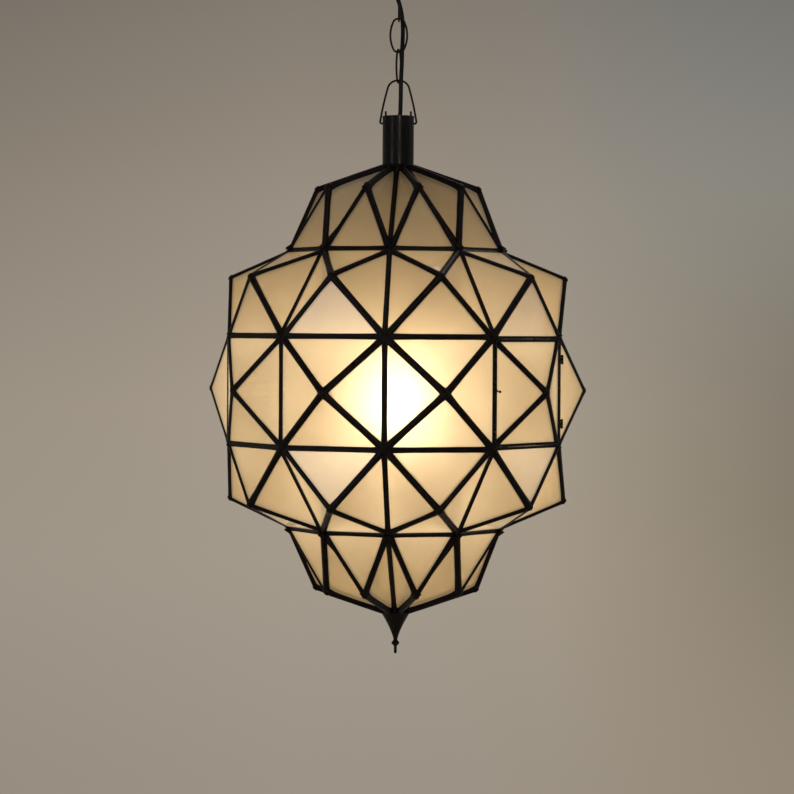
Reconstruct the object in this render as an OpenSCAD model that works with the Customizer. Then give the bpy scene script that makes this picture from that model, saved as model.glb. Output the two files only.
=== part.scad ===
// Geometric pendant lantern: white glass facets in soldered black seams,
// hung by a bail and chain from a ceiling canopy, with a hinged glass door.
// Millimetres. Z is up and the ceiling is the plane z = 0. Sizes of the glass
// body are measured from its equator, which hangs hang_drop below the ceiling.

/* [Glass body] */
// Radius to the points round the equator
equator_r = 203; // [190:1:220]
// How far the waist rings lie inside the equator
waist_in = 18; // [16:1:27]
// Height of the waist rings above and below the equator
waist_z = 57.3; // [50:0.1:64]
// How far the shoulder points lie inside the equator
shoulder_in = 21; // [13:1:31]
// Height of the shoulder points
shoulder_z = 120.4; // [112:0.1:128]
// Radius of the neck rings
neck_r = 120; // [118:1:130]
// Height of the neck rings
neck_z = 147.5; // [140:0.1:154]
// Radius of the crown points
crown_r = 87.8; // [78:0.1:94]
// Height of the crown points
crown_z = 217.5; // [205:0.1:226]
// Height at which the slopes of the crown would meet on the axis
peak_z = 247.9; // [244:0.1:254]
// Turn of the glass body about the collar
body_turn = -3.84; // [-18:0.01:18]

/* [Glass and seams] */
// Thickness of the glass
glass_t = 2; // [1.6:0.1:3]
// Space round a glass edge inside its seam
glass_gap = 0.1; // [0.05:0.01:0.2]
// Distance from the line of a seam to the edge of the glass
seam_web = 1.1; // [0.9:0.1:1.4]
// The same distance on the sharp slopes of the crown and base
slope_web = 1.9; // [1.8:0.1:2.2]
// Width of a ridge seam
ridge_w = 7.2; // [6:0.1:7.8]
// Width of a valley seam
valley_w = 5.6; // [4.8:0.1:6.2]
// Width of a ring seam
ring_w = 5.8; // [5:0.1:6.4]
// Rise of the solder over the glass in the middle of a seam
bead_rise = 0.9; // [0.6:0.1:1.4]
// Rise of the solder over the glass at the edge of a seam
lip_rise = 0.3; // [0.2:0.05:0.5]
// Radius of the solder joint where seams meet
joint_r = 4.4; // [3.8:0.1:4.8]
// Space between the seams of neighbouring tiers
tier_gap = 0.1; // [0.05:0.01:0.2]

/* [Door] */
// Width of the thin seam round the door opening
jamb_w = 2.8; // [2.2:0.1:3.4]
// Space between the door and its opening
door_gap = 0.3; // [0.25:0.05:0.6]
// Width of the strip round the door
rim_w = 1.2; // [0.8:0.1:1.6]
// Depth of the strip round the door
rim_d = 4.5; // [4:0.1:5.5]
// How far the strip stands out past the plane of the opening
rim_proud = 2.4; // [2:0.1:2.8]
// Outer corner radius of the strip
rim_corner = 4; // [3:0.1:6]
// Width of the seam inside the strip
door_seam_w = 3; // [2.6:0.1:3.6]
// Radius of a hinge barrel
knuckle_r = 1.3; // [1.2:0.05:1.5]
// Radius of a hinge pin
hinge_pin_r = 0.5; // [0.4:0.05:0.6]
// Radial clearance of a hinge pin
hinge_fit = 0.1; // [0.05:0.01:0.15]
// Length of one hinge barrel
knuckle_l = 4; // [3:0.5:6]
// Height of each hinge above and below the equator
hinge_z = 34; // [24:1:42]
// Height of the latch above the equator
latch_z = 2.6; // [-10:0.1:12]
// Length of the latch arm
latch_l = 6.9; // [6:0.1:10]
// Diameter of the latch knob
latch_knob_d = 2.8; // [2:0.1:3.6]

/* [Collar and bail] */
// Outer radius of the collar
collar_r = 17; // [16:0.1:17.3]
// Wall of the collar
collar_wall = 0.9; // [0.7:0.1:1.4]
// Height of the top of the collar above the equator
collar_top_z = 295.7; // [290:0.1:302]
// Height of the foot of the collar above the equator
collar_foot_z = 232; // [230:0.1:234]
// Height of the collar's rolled rim
rim_bead_h = 1.6; // [1:0.1:2.4]
// How far the rolled rim stands out
rim_bead_out = 0.2; // [0.1:0.05:0.25]
// Depth of the bail holes below the collar's top
bail_hole_drop = 7.9; // [7:0.1:10]
// Diameter of the bail and chain wire
wire_d = 2.2; // [1.8:0.1:2.4]
// Radial clearance of the bail in its holes
bail_fit = 0.15; // [0.1:0.01:0.25]
// Radius of the bend at the top of the bail
bail_top_r = 10.9; // [10.4:0.1:11.5]
// Radius of the long bend down each side of the bail
bail_side_r = 306.5; // [300:0.5:312]
// Radius of the small bends at the foot of the bail
bail_hook_r = 1.8; // [1.6:0.1:2]
// Length of the bail's ends inside the collar
bail_end_l = 11.5; // [6:0.5:14]

/* [Chain] */
// Outer length of a chain link
link_l = 38; // [34:0.1:42]
// Outer width of a chain link
link_w = 20.4; // [18:0.1:23]
// Space between links where they hang in each other
link_gap = 0.3; // [0.2:0.05:0.5]
// Turn of the lowest link from straight across the bail
low_link_turn = 15; // [0:1:20]

/* [Ceiling fitting] */
// Outer radius of the canopy
canopy_r = 60; // [50:1:70]
// Depth of the canopy below the ceiling
canopy_h = 26; // [24:0.5:30]
// Height of the canopy's straight rim
canopy_rim_h = 6; // [4:0.5:8]
// Thickness of the canopy's metal
canopy_t = 1.2; // [0.8:0.1:1.6]
// Radius of the hanging ring, to the middle of its wire
ring_r = 13; // [12:0.5:15]
// Diameter of the hanging ring's wire
ring_wire_d = 4; // [3.4:0.1:4.4]
// Length of the hub over the hanging ring
hub_h = 11; // [9:0.5:14]
// Outer radius of the hub
hub_r = 7.5; // [7:0.1:9]
// Outer radius of the threaded tubes
tube_r = 5; // [4.8:0.1:5.2]
// Bore radius of the threaded tubes
tube_bore_r = 3.5; // [3:0.1:3.7]
// Radial clearance between a tube and what it screws into
thread_fit = 0.08; // [0.05:0.01:0.12]
// Length of the crossbar
bar_l = 102; // [96:1:108]
// Width of the crossbar
bar_w = 14; // [12:0.5:18]
// Thickness of the crossbar
bar_t = 2; // [1.5:0.1:2.5]
// Drop of the middle of the crossbar below its ends
bar_dip = 9; // [8.6:0.1:10]
// Distance between the mounting slots
slot_pitch = 84; // [80:0.5:86]
// Width of a mounting slot
slot_w = 4.6; // [4:0.1:5.4]
// Length of a mounting slot
slot_l = 12; // [9:0.5:13]

/* [Lamp] */
// Diameter of the cord
cord_d = 4.6; // [4.2:0.1:4.7]
// Height of the middle of the bulb above the equator
bulb_z = -18; // [-28:1:-8]
// Radius of the bulb
bulb_r = 30; // [26:1:32]
// Length of the bulb from its crown to its contact
bulb_l = 106; // [102:1:112]
// Radius of the bulb's screw cap
cap_r = 13; // [12.8:0.1:13.2]
// Height of the bulb's screw cap
cap_h = 24; // [22:0.5:26]
// Outer radius of the lampholder
holder_r = 19; // [18:0.5:21]
// Wall of the lampholder
holder_wall = 2.4; // [2:0.1:3]
// Length of the lampholder's body
holder_h = 42; // [40:1:48]
// Height of the lampholder's cover
cover_h = 20; // [18:1:24]
// Height of the strap in the collar above the equator
strap_z = 256; // [250:0.5:262]
// Thickness of the strap in the collar
strap_t = 2; // [1.5:0.1:2.5]
// Width of the strap in the collar
strap_w = 12; // [11:0.5:15]
// Length of the cord grip
grip_l = 22; // [20:0.5:26]
// Outer radius of the cord grip
grip_r = 7.5; // [7:0.1:8.5]

/* [Finial] */
// Radius of the finial's cup
finial_r = 16.2; // [15:0.1:17]
// Radius of the finial's neck
finial_neck_r = 2.1; // [1.8:0.1:2.6]
// Length of the finial's flare
finial_flare_l = 30.5; // [26:0.5:34]
// Radius of the finial's bead
finial_bead_r = 4.4; // [3.6:0.1:5]
// Height of the finial's bead
finial_bead_h = 7; // [6:0.5:8]
// Length of the finial's tip below the bead
finial_tip_l = 8; // [6:0.5:10]

/* [Hidden] */
$fn = 48;

// Finishes
metal = "#1a1716";
tin = "#8f8884";
glass = "#e2caa0";
brass = "#a8873f";
plastic = "#1b1b1c";
ceramic = "#e8e4da";

// Ten facets round the body, with the door in the bay after valley 1
facets = 10;
step = 360 / facets;
door_bay = 1;

// Bail, drawn in its own plane from the middle of its top
crown_flat = 1;
bail_top_turn = 74;
bail_flare = 9;
bail_arch_x = crown_flat + bail_top_r * sin(bail_top_turn);
bail_arch_h = bail_top_r * (1 - cos(bail_top_turn));
bail_leg_x = bail_arch_x + bail_side_r * (cos(bail_flare) - sin(bail_top_turn));
bail_side_h = bail_side_r * (cos(bail_top_turn) - sin(bail_flare));
bail_h = bail_arch_h + bail_side_h + bail_hook_r * (1 + sin(bail_flare));
bail_hook_x = bail_leg_x - bail_hook_r * cos(bail_flare);
bail_end_gap = 1.4;
bail_end_x = collar_r - collar_wall - wire_d / 2 - bail_end_gap;

// Chain, from the bail up, each level being the middle of a wire
wire_r = wire_d / 2;
link_side = 25;
link_half_h = (link_l - wire_d) / 2;
link_half_w = (link_w - wire_d) / 2 - crown_flat;
link_det = (1 - sin(link_side)) * (1 - cos(link_side)) - sin(link_side) * cos(link_side);
link_end_r = (link_half_h * (1 - cos(link_side)) - sin(link_side) * link_half_w) / link_det;
link_side_r = ((1 - sin(link_side)) * link_half_w - cos(link_side) * link_half_h) / link_det;
bail_pivot_z = collar_top_z - bail_hole_drop;
bail_top_z = bail_pivot_z + bail_h;
hang_step = link_l - wire_d;
links = 4;
function link_foot_z(i) = bail_top_z - (wire_d + link_gap) + (i - 1) * (hang_step - wire_d - link_gap);
ring_foot_z = link_foot_z(links) + hang_step - (wire_d + ring_wire_d) / 2 - link_gap;
ring_mid_z = ring_foot_z + ring_r;
hub_foot_z = ring_mid_z + ring_r - ring_wire_d / 2;
hub_top_z = hub_foot_z + hub_h;

// Distance from the ceiling down to the equator
hang_drop = hub_top_z + canopy_h;

// Points of the glass body: rings 1 to 9 from the crown down, ring 0 and 10 on the axis
waist_r = equator_r - waist_in;
shoulder_r = equator_r - shoulder_in;
ring_radius = [0, crown_r, neck_r, shoulder_r, waist_r, equator_r, waist_r, shoulder_r, neck_r, crown_r, 0];
ring_height = [
  peak_z, crown_z, neck_z, shoulder_z, waist_z, 0, -waist_z, -shoulder_z, -neck_z, -crown_z, -peak_z];
ring_lean = [90, 50, 25, 40, 4, 0, -4, -40, -25, -50, -90];
function half(ring) = ring % 2 == 1 ? 0.5 : 0;
function turn_of(ring, k) = (k + half(ring)) * step + body_turn;
function at(ring, k) = [
  ring_radius[ring] * sin(turn_of(ring, k)), -ring_radius[ring] * cos(turn_of(ring, k)), ring_height[ring]];
function out_of(ring, k) = [
  cos(ring_lean[ring]) * sin(turn_of(ring, k)),
  -cos(ring_lean[ring]) * cos(turn_of(ring, k)),
  sin(ring_lean[ring])];

// Vector helpers
function unit(v) = v / norm(v);
function square_to(v, d) = v - d * (v * d);
function side_of(p, q, a) = unit(square_to(a - p, unit(q - p)));
function outward(n, p) = n * p < 0 ? -n : n;
function face_normal(p, q, a) = outward(unit(cross(q - p, a - p)), (p + q + a) / 3);
function seam_normal(p, q, a, b) = unit(face_normal(p, q, a) + face_normal(p, q, b));
function frame_of(x, y, z, o) = [
  [x[0], y[0], z[0], o[0]], [x[1], y[1], z[1], o[1]], [x[2], y[2], z[2], o[2]], [0, 0, 0, 1]];
function inset(a, b, c, d) =
  let (la = norm(b - c), lb = norm(c - a), lc = norm(a - b), girth = la + lb + lc)
  let (mid = (la * a + lb * b + lc * c) / girth, r = norm(cross(b - a, c - a)) / girth)
  [for (p = [a, b, c]) mid + (p - mid) * (r - d) / r];

module on_body() { translate([0, 0, -hang_drop]) children(); }

// A triangular slab on three points, drawn in from each side by d
module slab(a, b, c, d, t) {
  tri = inset(a, b, c, d);
  x = unit(tri[1] - tri[0]);
  z = unit(cross(tri[1] - tri[0], tri[2] - tri[0]));
  y = cross(z, x);
  reach = tri[2] - tri[0];
  multmatrix(frame_of(x, y, z, tri[0] - z * t / 2))
    linear_extrude(t) polygon([[0, 0], [norm(tri[1] - tri[0]), 0], [reach * x, reach * y]]);
}
module panes(tris, web = seam_web) { for (t = tris) slab(t[0], t[1], t[2], web, glass_t); }
module pane_seats(tris, web = seam_web) {
  for (t = tris) slab(t[0], t[1], t[2], web - glass_gap, glass_t + 2 * glass_gap);
}

// A solder seam between the panes that reach a and b, with its ends set back into the joints
crest_share = 0.4;
joint_set_back = joint_r * 0.7;
joint_more = 0.8;
module seam(from, to, a, b, w, grow = 0, set_back = joint_set_back) {
  z = unit(to - from);
  p = from + z * set_back;
  q = to - z * set_back;
  y = seam_normal(p, q, a, b);
  x = cross(y, z);
  fall = side_of(p, q, a) * y / abs(side_of(p, q, a) * x);
  lip = glass_t / 2 + lip_rise + grow;
  top = glass_t / 2 + bead_rise + grow;
  hw = w / 2 + grow;
  crest = hw * crest_share;
  edge_y = fall * hw;
  mid_y = fall * crest;
  multmatrix(frame_of(x, y, z, p)) linear_extrude(norm(q - p)) polygon([
    [-hw, edge_y - lip], [-crest, mid_y - top], [crest, mid_y - top], [hw, edge_y - lip],
    [hw, edge_y + lip], [crest, mid_y + top], [-crest, mid_y + top], [-hw, edge_y + lip]]);
}
module joint_at(ring, k, grow = 0) {
  z = out_of(ring, k);
  x = [cos(turn_of(ring, k)), sin(turn_of(ring, k)), 0];
  t = glass_t + 2 * bead_rise + joint_more + 2 * grow;
  multmatrix(frame_of(x, cross(z, x), z, at(ring, k) - z * t / 2)) cylinder(r = joint_r + grow, h = t, $fn = 8);
}

// Seams between rings: from point k of ring i to point m of ring j, with the rings' third points
function is_jamb(k) = k == door_bay || k == door_bay + 1;
module ring_seams(ring, grow = 0) {
  above = ring - 1;
  below = ring + 1;
  for (k = [0:facets - 1])
    seam(at(ring, k), at(ring, k + 1), at(above, k), at(below, k),
      k == door_bay && (ring == 4 || ring == 6) ? jamb_w : ring_w, grow);
}
module ring_joints(ring, grow = 0) { for (k = [0:facets - 1]) joint_at(ring, k, grow); }
module ring_cutter(ring) {
  ring_seams(ring, tier_gap);
  ring_joints(ring, tier_gap);
}

// Triangles of glass, as lists of three points
function front_tris(tip, base) = [for (k = [0:facets - 1]) [at(tip, k), at(base, k), at(base, k + 1)]];
function side_tris(far, tip, near) = [
  for (k = [0:facets - 1]) for (s = [0, 1]) [at(far, k + s), at(tip, k), at(near, k + s)]];
crown_fronts = front_tris(1, 2);
crown_sides = side_tris(0, 1, 2);
upper_roofs = front_tris(3, 2);
upper_sides = side_tris(2, 3, 4);
upper_faces = front_tris(3, 4);
belt_tops = [for (k = [0:facets - 1]) if (k != door_bay) [at(5, k), at(4, k), at(4, k + 1)]];
belt_sides = [
  for (k = [0:facets - 1]) if (k != door_bay) for (s = [0, 1]) [at(4, k + s), at(5, k), at(6, k + s)]];
belt_bottoms = [for (k = [0:facets - 1]) if (k != door_bay) [at(5, k), at(6, k), at(6, k + 1)]];
lower_faces = front_tris(7, 6);
lower_sides = side_tris(6, 7, 8);
lower_roofs = front_tris(7, 8);
base_fronts = front_tris(9, 8);
base_sides = side_tris(8, 9, 10);

// Start of a crown seam on the axis side, just inside the collar or the finial
function root_of(from, to, r) = from + (to - from) * (r / norm([to[0], to[1]]));

// Crown and base: slopes from the axis to ring tip and ring foot, ridges between them
module point_tier(apex, tip, foot, root_r) {
  for (k = [0:facets - 1]) {
    a = at(apex, k);
    seam(root_of(a, at(tip, k), root_r - joint_r), at(tip, k), at(foot, k), at(foot, k + 1), ridge_w);
    seam(root_of(a, at(foot, k), root_r - joint_r), at(foot, k), at(tip, k), at(tip, k - 1), valley_w);
    seam(at(tip, k), at(foot, k), a, at(foot, k + 1), ridge_w);
    seam(at(tip, k), at(foot, k + 1), a, at(foot, k), ridge_w);
    joint_at(tip, k);
  }
}
// Shoulders: ridges from the points of ring tip to ring far and ring near, and the valleys between
module shoulder_tier(far, tip, near) {
  for (k = [0:facets - 1]) {
    seam(at(far, k), at(tip, k), at(far, k + 1), at(near, k), ridge_w);
    seam(at(far, k + 1), at(tip, k), at(far, k), at(near, k + 1), ridge_w);
    seam(at(near, k), at(tip, k), at(near, k + 1), at(far, k), ridge_w);
    seam(at(near, k + 1), at(tip, k), at(near, k), at(far, k + 1), ridge_w);
    seam(at(far, k), at(near, k), at(tip, k), at(tip, k - 1), valley_w);
    joint_at(tip, k);
  }
}
module belt_tier() {
  for (k = [0:facets - 1]) {
    if (k != door_bay) {
      for (s = [0, 1]) {
        seam(at(4, k + s), at(5, k), at(4, k + 1 - s), at(6, k + s), ridge_w);
        seam(at(6, k + s), at(5, k), at(6, k + 1 - s), at(4, k + s), ridge_w);
      }
      joint_at(5, k);
    }
    seam(at(4, k), at(6, k), at(5, k), at(5, k - 1), is_jamb(k) ? jamb_w : valley_w);
  }
}
module core_bore(foot, top, r) { translate([0, 0, foot]) cylinder(r = r, h = top - foot); }
module collar_bore(gap) { core_bore(collar_foot_z - bore_more, collar_top_z, collar_r + gap); }
module finial_bore(gap) { core_bore(-peak_z - bore_more, finial_plug_z + bore_more, finial_r + gap); }
bore_more = 20;

module crown_frame() {
  color(metal) on_body() difference() {
    union() {
      point_tier(0, 1, 2, collar_r);
      ring_seams(2);
      ring_joints(2);
    }
    pane_seats(crown_fronts);
    pane_seats(crown_sides, slope_web);
    pane_seats(upper_roofs);
    pane_seats(upper_sides);
    collar_bore(tier_gap);
  }
}
module upper_frame() {
  color(metal) on_body() difference() {
    union() {
      shoulder_tier(2, 3, 4);
      ring_seams(4);
      ring_joints(4);
    }
    pane_seats(upper_roofs);
    pane_seats(upper_sides);
    pane_seats(upper_faces);
    pane_seats(belt_tops);
    pane_seats(belt_sides);
    ring_cutter(2);
    door_room();
  }
}
module belt_frame() {
  color(metal) on_body() difference() {
    belt_tier();
    pane_seats(belt_tops);
    pane_seats(belt_sides);
    pane_seats(belt_bottoms);
    ring_cutter(4);
    ring_cutter(6);
  }
}
module lower_frame() {
  color(metal) on_body() difference() {
    union() {
      shoulder_tier(8, 7, 6);
      ring_seams(6);
      ring_joints(6);
    }
    pane_seats(lower_roofs);
    pane_seats(lower_sides);
    pane_seats(lower_faces);
    pane_seats(belt_bottoms);
    pane_seats(belt_sides);
    ring_cutter(8);
    door_room();
  }
}
module base_frame() {
  color(metal) on_body() difference() {
    union() {
      point_tier(10, 9, 8, finial_r);
      ring_seams(8);
      ring_joints(8);
    }
    pane_seats(base_fronts);
    pane_seats(base_sides, slope_web);
    pane_seats(lower_roofs);
    pane_seats(lower_sides);
    finial_bore(tier_gap);
  }
}

module crown_side_panes() {
  color(glass) on_body() difference() {
    panes(crown_sides, slope_web);
    collar_bore(glass_gap);
  }
}
module crown_front_panes() { color(glass) on_body() panes(crown_fronts); }
module upper_roof_panes() { color(glass) on_body() panes(upper_roofs); }
module upper_side_panes() { color(glass) on_body() panes(upper_sides); }
module upper_face_panes() { color(glass) on_body() panes(upper_faces); }
module belt_top_panes() { color(glass) on_body() panes(belt_tops); }
module belt_side_panes() { color(glass) on_body() panes(belt_sides); }
module belt_bottom_panes() { color(glass) on_body() panes(belt_bottoms); }
module lower_face_panes() { color(glass) on_body() panes(lower_faces); }
module lower_side_panes() { color(glass) on_body() panes(lower_sides); }
module lower_roof_panes() { color(glass) on_body() panes(lower_roofs); }
module base_front_panes() { color(glass) on_body() panes(base_fronts); }
module base_side_panes() {
  color(glass) on_body() difference() {
    panes(base_sides, slope_web);
    finial_bore(glass_gap);
  }
}

// Finial: a plug in the foot of the glass, a flare, a bead and a rounded tip
finial_top_z = -(peak_z - (peak_z - crown_z) * finial_r / crown_r);
finial_plug_z = -(peak_z - (peak_z - neck_z) * finial_r / neck_r) + 2;
flare_steps = 12;
flare_power = 1.35;
bead_flat = [0.45, 0.55];
tip_r = finial_neck_r * 0.78;
function flare_at(i) = [
  finial_neck_r + (finial_r - finial_neck_r) * pow(1 - i / flare_steps, flare_power),
  finial_top_z - finial_flare_l * i / flare_steps];
module finial() {
  neck_z_low = finial_top_z - finial_flare_l;
  bead_low = neck_z_low - finial_bead_h;
  tip_z = bead_low - finial_tip_l + tip_r;
  color(metal) on_body() {
    rotate_extrude() polygon(concat(
      [[0, finial_plug_z], [finial_r, finial_plug_z]],
      [for (i = [0:flare_steps]) flare_at(i)],
      [for (share = bead_flat) [finial_bead_r, neck_z_low - finial_bead_h * share]],
      [[tip_r, bead_low], [tip_r, tip_z], [0, tip_z]]));
    translate([0, 0, tip_z]) sphere(r = tip_r);
  }
}

// Door, drawn with Y outward through the middle of its bay and X toward the latch
door_turn = (door_bay + 0.5) * step + body_turn + 180;
opening_hw = waist_r * sin(step / 2);
opening_y = waist_r * cos(step / 2);
rim_hx = opening_hw - jamb_w / 2 - door_gap;
rim_hz = waist_z - jamb_w / 2 - door_gap;
seat_in = 0.4;
seat_hx = rim_hx - rim_w - seat_in;
seat_hz = rim_hz - rim_w - seat_in;
rim_front_y = opening_y + rim_proud;
seam_top = glass_t / 2 + bead_rise;
hinge_clear = 0.3;
hinge_out = seam_top + knuckle_r + hinge_clear;
hinge_x = -(opening_hw + hinge_out * sin(step / 2));
hinge_y = opening_y + hinge_out * cos(step / 2);
module on_door() { on_body() rotate([0, 0, door_turn]) children(); }
function door_corner(sx, sz) = [sx * seat_hx, opening_y, sz * seat_hz];
door_apex = [0, equator_r, 0];
door_ring = [door_corner(-1, -1), door_corner(1, -1), door_corner(1, 1), door_corner(-1, 1)];
door_tris = [for (i = [0:3]) [door_ring[i], door_ring[(i + 1) % 4], door_apex]];
apex_out = 1.6;
apex_deep = glass_t + 2 * bead_rise + 1.4;
seam_start = 1;

// Slope of the door's side panes, and the rise of the glass over the plane of the opening
pane_slope = (equator_r - opening_y) / seat_hx;
pane_lean = atan(pane_slope);
pane_half = glass_t / 2 / cos(pane_lean);
function pane_rise(x) = pane_slope * (seat_hx - x) + pane_half;

// Room cut for the door strip in the corners of its opening
door_room_gap = 0.2;
module door_room() {
  rotate([0, 0, door_turn]) from_front(rim_front_y + 1, rim_d + 2)
    round_rect(rim_hx + door_room_gap, rim_hz + door_room_gap, rim_corner + door_room_gap);
}

module round_rect(hx, hz, r) {
  square([2 * (hx - r), 2 * hz], center = true);
  square([2 * hx, 2 * (hz - r)], center = true);
  for (sx = [-1, 1]) for (sz = [-1, 1]) translate([sx * (hx - r), sz * (hz - r)]) circle(r = r);
}
module from_front(y, d) { translate([0, y, 0]) rotate([90, 0, 0]) linear_extrude(d) children(); }

module door_rim() {
  color(tin) on_door() from_front(rim_front_y, rim_d) difference() {
    round_rect(rim_hx, rim_hz, rim_corner);
    round_rect(rim_hx - rim_w, rim_hz - rim_w, rim_corner - rim_w);
  }
}
module door_frame() {
  color(metal) on_door() difference() {
    union() {
      from_front(opening_y + glass_t / 2 + bead_rise, glass_t + 2 * bead_rise) difference() {
        round_rect(rim_hx - rim_w, rim_hz - rim_w, rim_corner - rim_w);
        square([2 * (rim_hx - rim_w - door_seam_w), 2 * (rim_hz - rim_w - door_seam_w)], center = true);
      }
      for (i = [0:3])
        seam(door_ring[i], door_apex, door_ring[(i + 1) % 4], door_ring[(i + 3) % 4], ridge_w, 0, seam_start);
      from_front(equator_r + apex_out, apex_deep) circle(r = joint_r, $fn = 8);
    }
    pane_seats(door_tris);
    from_front(rim_front_y + 30, rim_d + 40) difference() {
      square([4 * opening_hw, 4 * waist_z], center = true);
      round_rect(rim_hx - rim_w, rim_hz - rim_w, rim_corner - rim_w);
    }
  }
}
module door_panes() { color(glass) on_door() panes(door_tris); }

// Hinges on the far edge of the door: outer barrels on the lantern, middle barrels on the door
barrel_gap = 0.15;
outer_barrel_l = knuckle_l * 0.6;
barrel_end = knuckle_l / 2 + barrel_gap + outer_barrel_l;
pin_head_h = 0.6;
pin_head_out = 0.4;
pin_head_gap = 0.05;
web_t = 1.4;
web_gap = 0.1;
leaf_t = 0.7;
leaf_lift = 0.05;
leaf_gap = 0.15;
leaf_reach = rim_hx - seat_hx + (rim_proud + leaf_lift - leaf_gap - pane_half) / pane_slope;
module at_hinges() {
  on_door() for (s = [-1, 1]) translate([hinge_x, hinge_y, s * hinge_z]) children();
}
module door_hinge_leaves() {
  leaf_y = rim_front_y + leaf_lift;
  color(metal) at_hinges() difference() {
    union() {
      cylinder(r = knuckle_r, h = knuckle_l, center = true);
      translate([0, leaf_y - hinge_y, -knuckle_l / 2])
        cube([-hinge_x - rim_hx + leaf_reach, leaf_t, knuckle_l]);
    }
    cylinder(r = hinge_pin_r + hinge_fit, h = knuckle_l + 2, center = true);
  }
}
module frame_hinge_leaves() {
  foot = hinge_out - seam_top - web_gap;
  web_l = outer_barrel_l - 2 * web_gap;
  color(metal) at_hinges() difference() {
    for (s = [-1, 1]) translate([0, 0, s * (knuckle_l / 2 + barrel_gap + outer_barrel_l / 2)]) {
      cylinder(r = knuckle_r, h = outer_barrel_l, center = true);
      rotate([0, 0, step / 2]) translate([-web_t / 2, -foot, -web_l / 2]) cube([web_t, foot, web_l]);
    }
    cylinder(r = hinge_pin_r + hinge_fit, h = 4 * knuckle_l, center = true);
  }
}
module hinge_pins() {
  color(tin) at_hinges() {
    cylinder(r = hinge_pin_r, h = 2 * barrel_end + pin_head_h, center = true);
    for (s = [-1, 1]) translate([0, 0, s * (barrel_end + pin_head_h / 2 + pin_head_gap)])
      cylinder(r = hinge_pin_r + pin_head_out, h = pin_head_h, center = true);
  }
}

// Latch: an arm that turns on a post on the seam beside the door
latch_side = 0.6;
latch_wire_r = 0.6;
latch_eye_r = 1.9;
latch_eye_half = 0.7;
latch_gap = 0.25;
post_r = 0.8;
post_head_h = 0.7;
post_head_out = 0.6;
latch_head_gap = 0.1;
latch_tail_l = 2.8;
latch_tilt = 8;
latch_x = opening_hw + latch_side;
knob_x = latch_x - latch_l * cos(latch_tilt);
latch_y = opening_y + pane_rise(knob_x) + (latch_knob_d / 2 + latch_gap) / cos(pane_lean);
module at_latch() { on_door() translate([latch_x, latch_y, latch_z]) rotate([90, 0, 0]) children(); }
module latch_post() {
  post_foot = latch_y - opening_y - seam_top - latch_gap;
  color(tin) at_latch() {
    translate([0, 0, -latch_eye_half - post_head_h - latch_head_gap])
      cylinder(r = post_r + post_head_out, h = post_head_h);
    translate([0, 0, -latch_eye_half - post_head_h / 2])
      cylinder(r = post_r, h = latch_eye_half + post_head_h / 2 + post_foot);
  }
}
module latch() {
  color(metal) at_latch() rotate([0, 0, latch_tilt]) difference() {
    union() {
      cylinder(r = latch_eye_r, h = 2 * latch_eye_half, center = true);
      translate([-latch_l, 0, 0]) rotate([0, 90, 0]) cylinder(r = latch_wire_r, h = latch_l - 1);
      translate([-latch_l, 0, 0]) rotate([0, 90, 0]) sphere(r = latch_knob_d / 2);
      translate([1, 0, 0]) rotate([0, 90, 0]) cylinder(r = latch_wire_r, h = latch_tail_l - 1);
    }
    cylinder(r = post_r + hinge_fit, h = 4, center = true);
  }
}

// Collar with its rolled rim and the two holes for the bail
module collar() {
  color(metal) on_body() difference() {
    rotate_extrude() {
      translate([collar_r - collar_wall, collar_foot_z]) square([collar_wall, collar_top_z - collar_foot_z]);
      translate([collar_r - collar_wall, collar_top_z - rim_bead_h])
        square([collar_wall + rim_bead_out, rim_bead_h]);
    }
    translate([0, 0, bail_pivot_z]) rotate([0, 90, 0])
      cylinder(r = wire_r + bail_fit, h = 4 * collar_r, center = true);
  }
}

// Round wire drawn in the XY plane: an arc about a centre, or a straight run along X or Y.
// A tucked arc is a hair thinner and runs a little way into the wire at both its ends.
tuck_in = 0.02;
tuck_run = 0.2;
module wire_arc(centre, r, from, sweep, wr) {
  translate(centre) rotate([0, 0, from]) rotate_extrude(angle = sweep) translate([r, 0]) circle(r = wr);
}
module tucked_arc(centre, r, from, sweep, wr) {
  more = tuck_run / r * 180 / PI;
  wire_arc(centre, r, from - more, sweep + 2 * more, wr - tuck_in);
}
module wire_x(x, y, l, wr) { translate([x, y, 0]) rotate([0, 90, 0]) cylinder(r = wr, h = l); }
module wire_y(x, y, l, wr) { translate([x, y, 0]) rotate([-90, 0, 0]) cylinder(r = wr, h = l); }
module both_sides() {
  children();
  mirror([1, 0, 0]) children();
}
module bail() {
  side_x = bail_arch_x - bail_side_r * sin(bail_top_turn);
  side_y = -bail_arch_h - bail_side_r * cos(bail_top_turn);
  hook_y = -bail_h + bail_hook_r;
  color(metal) on_body() translate([0, 0, bail_top_z]) rotate([90, 0, 0]) {
    wire_x(-crown_flat, 0, 2 * crown_flat, wire_r);
    both_sides() {
      tucked_arc([crown_flat, -bail_top_r], bail_top_r, 90 - bail_top_turn, bail_top_turn, wire_r);
      wire_arc([side_x, side_y], bail_side_r, bail_flare, 90 - bail_top_turn - bail_flare, wire_r);
      tucked_arc([bail_hook_x, hook_y], bail_hook_r, -90, 90 + bail_flare, wire_r);
      wire_x(bail_end_x + bail_hook_r, -bail_h, bail_hook_x - bail_end_x - bail_hook_r, wire_r);
      tucked_arc([bail_end_x + bail_hook_r, hook_y], bail_hook_r, 180, 90, wire_r);
      wire_y(bail_end_x, hook_y, bail_end_l, wire_r);
    }
  }
}

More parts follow.
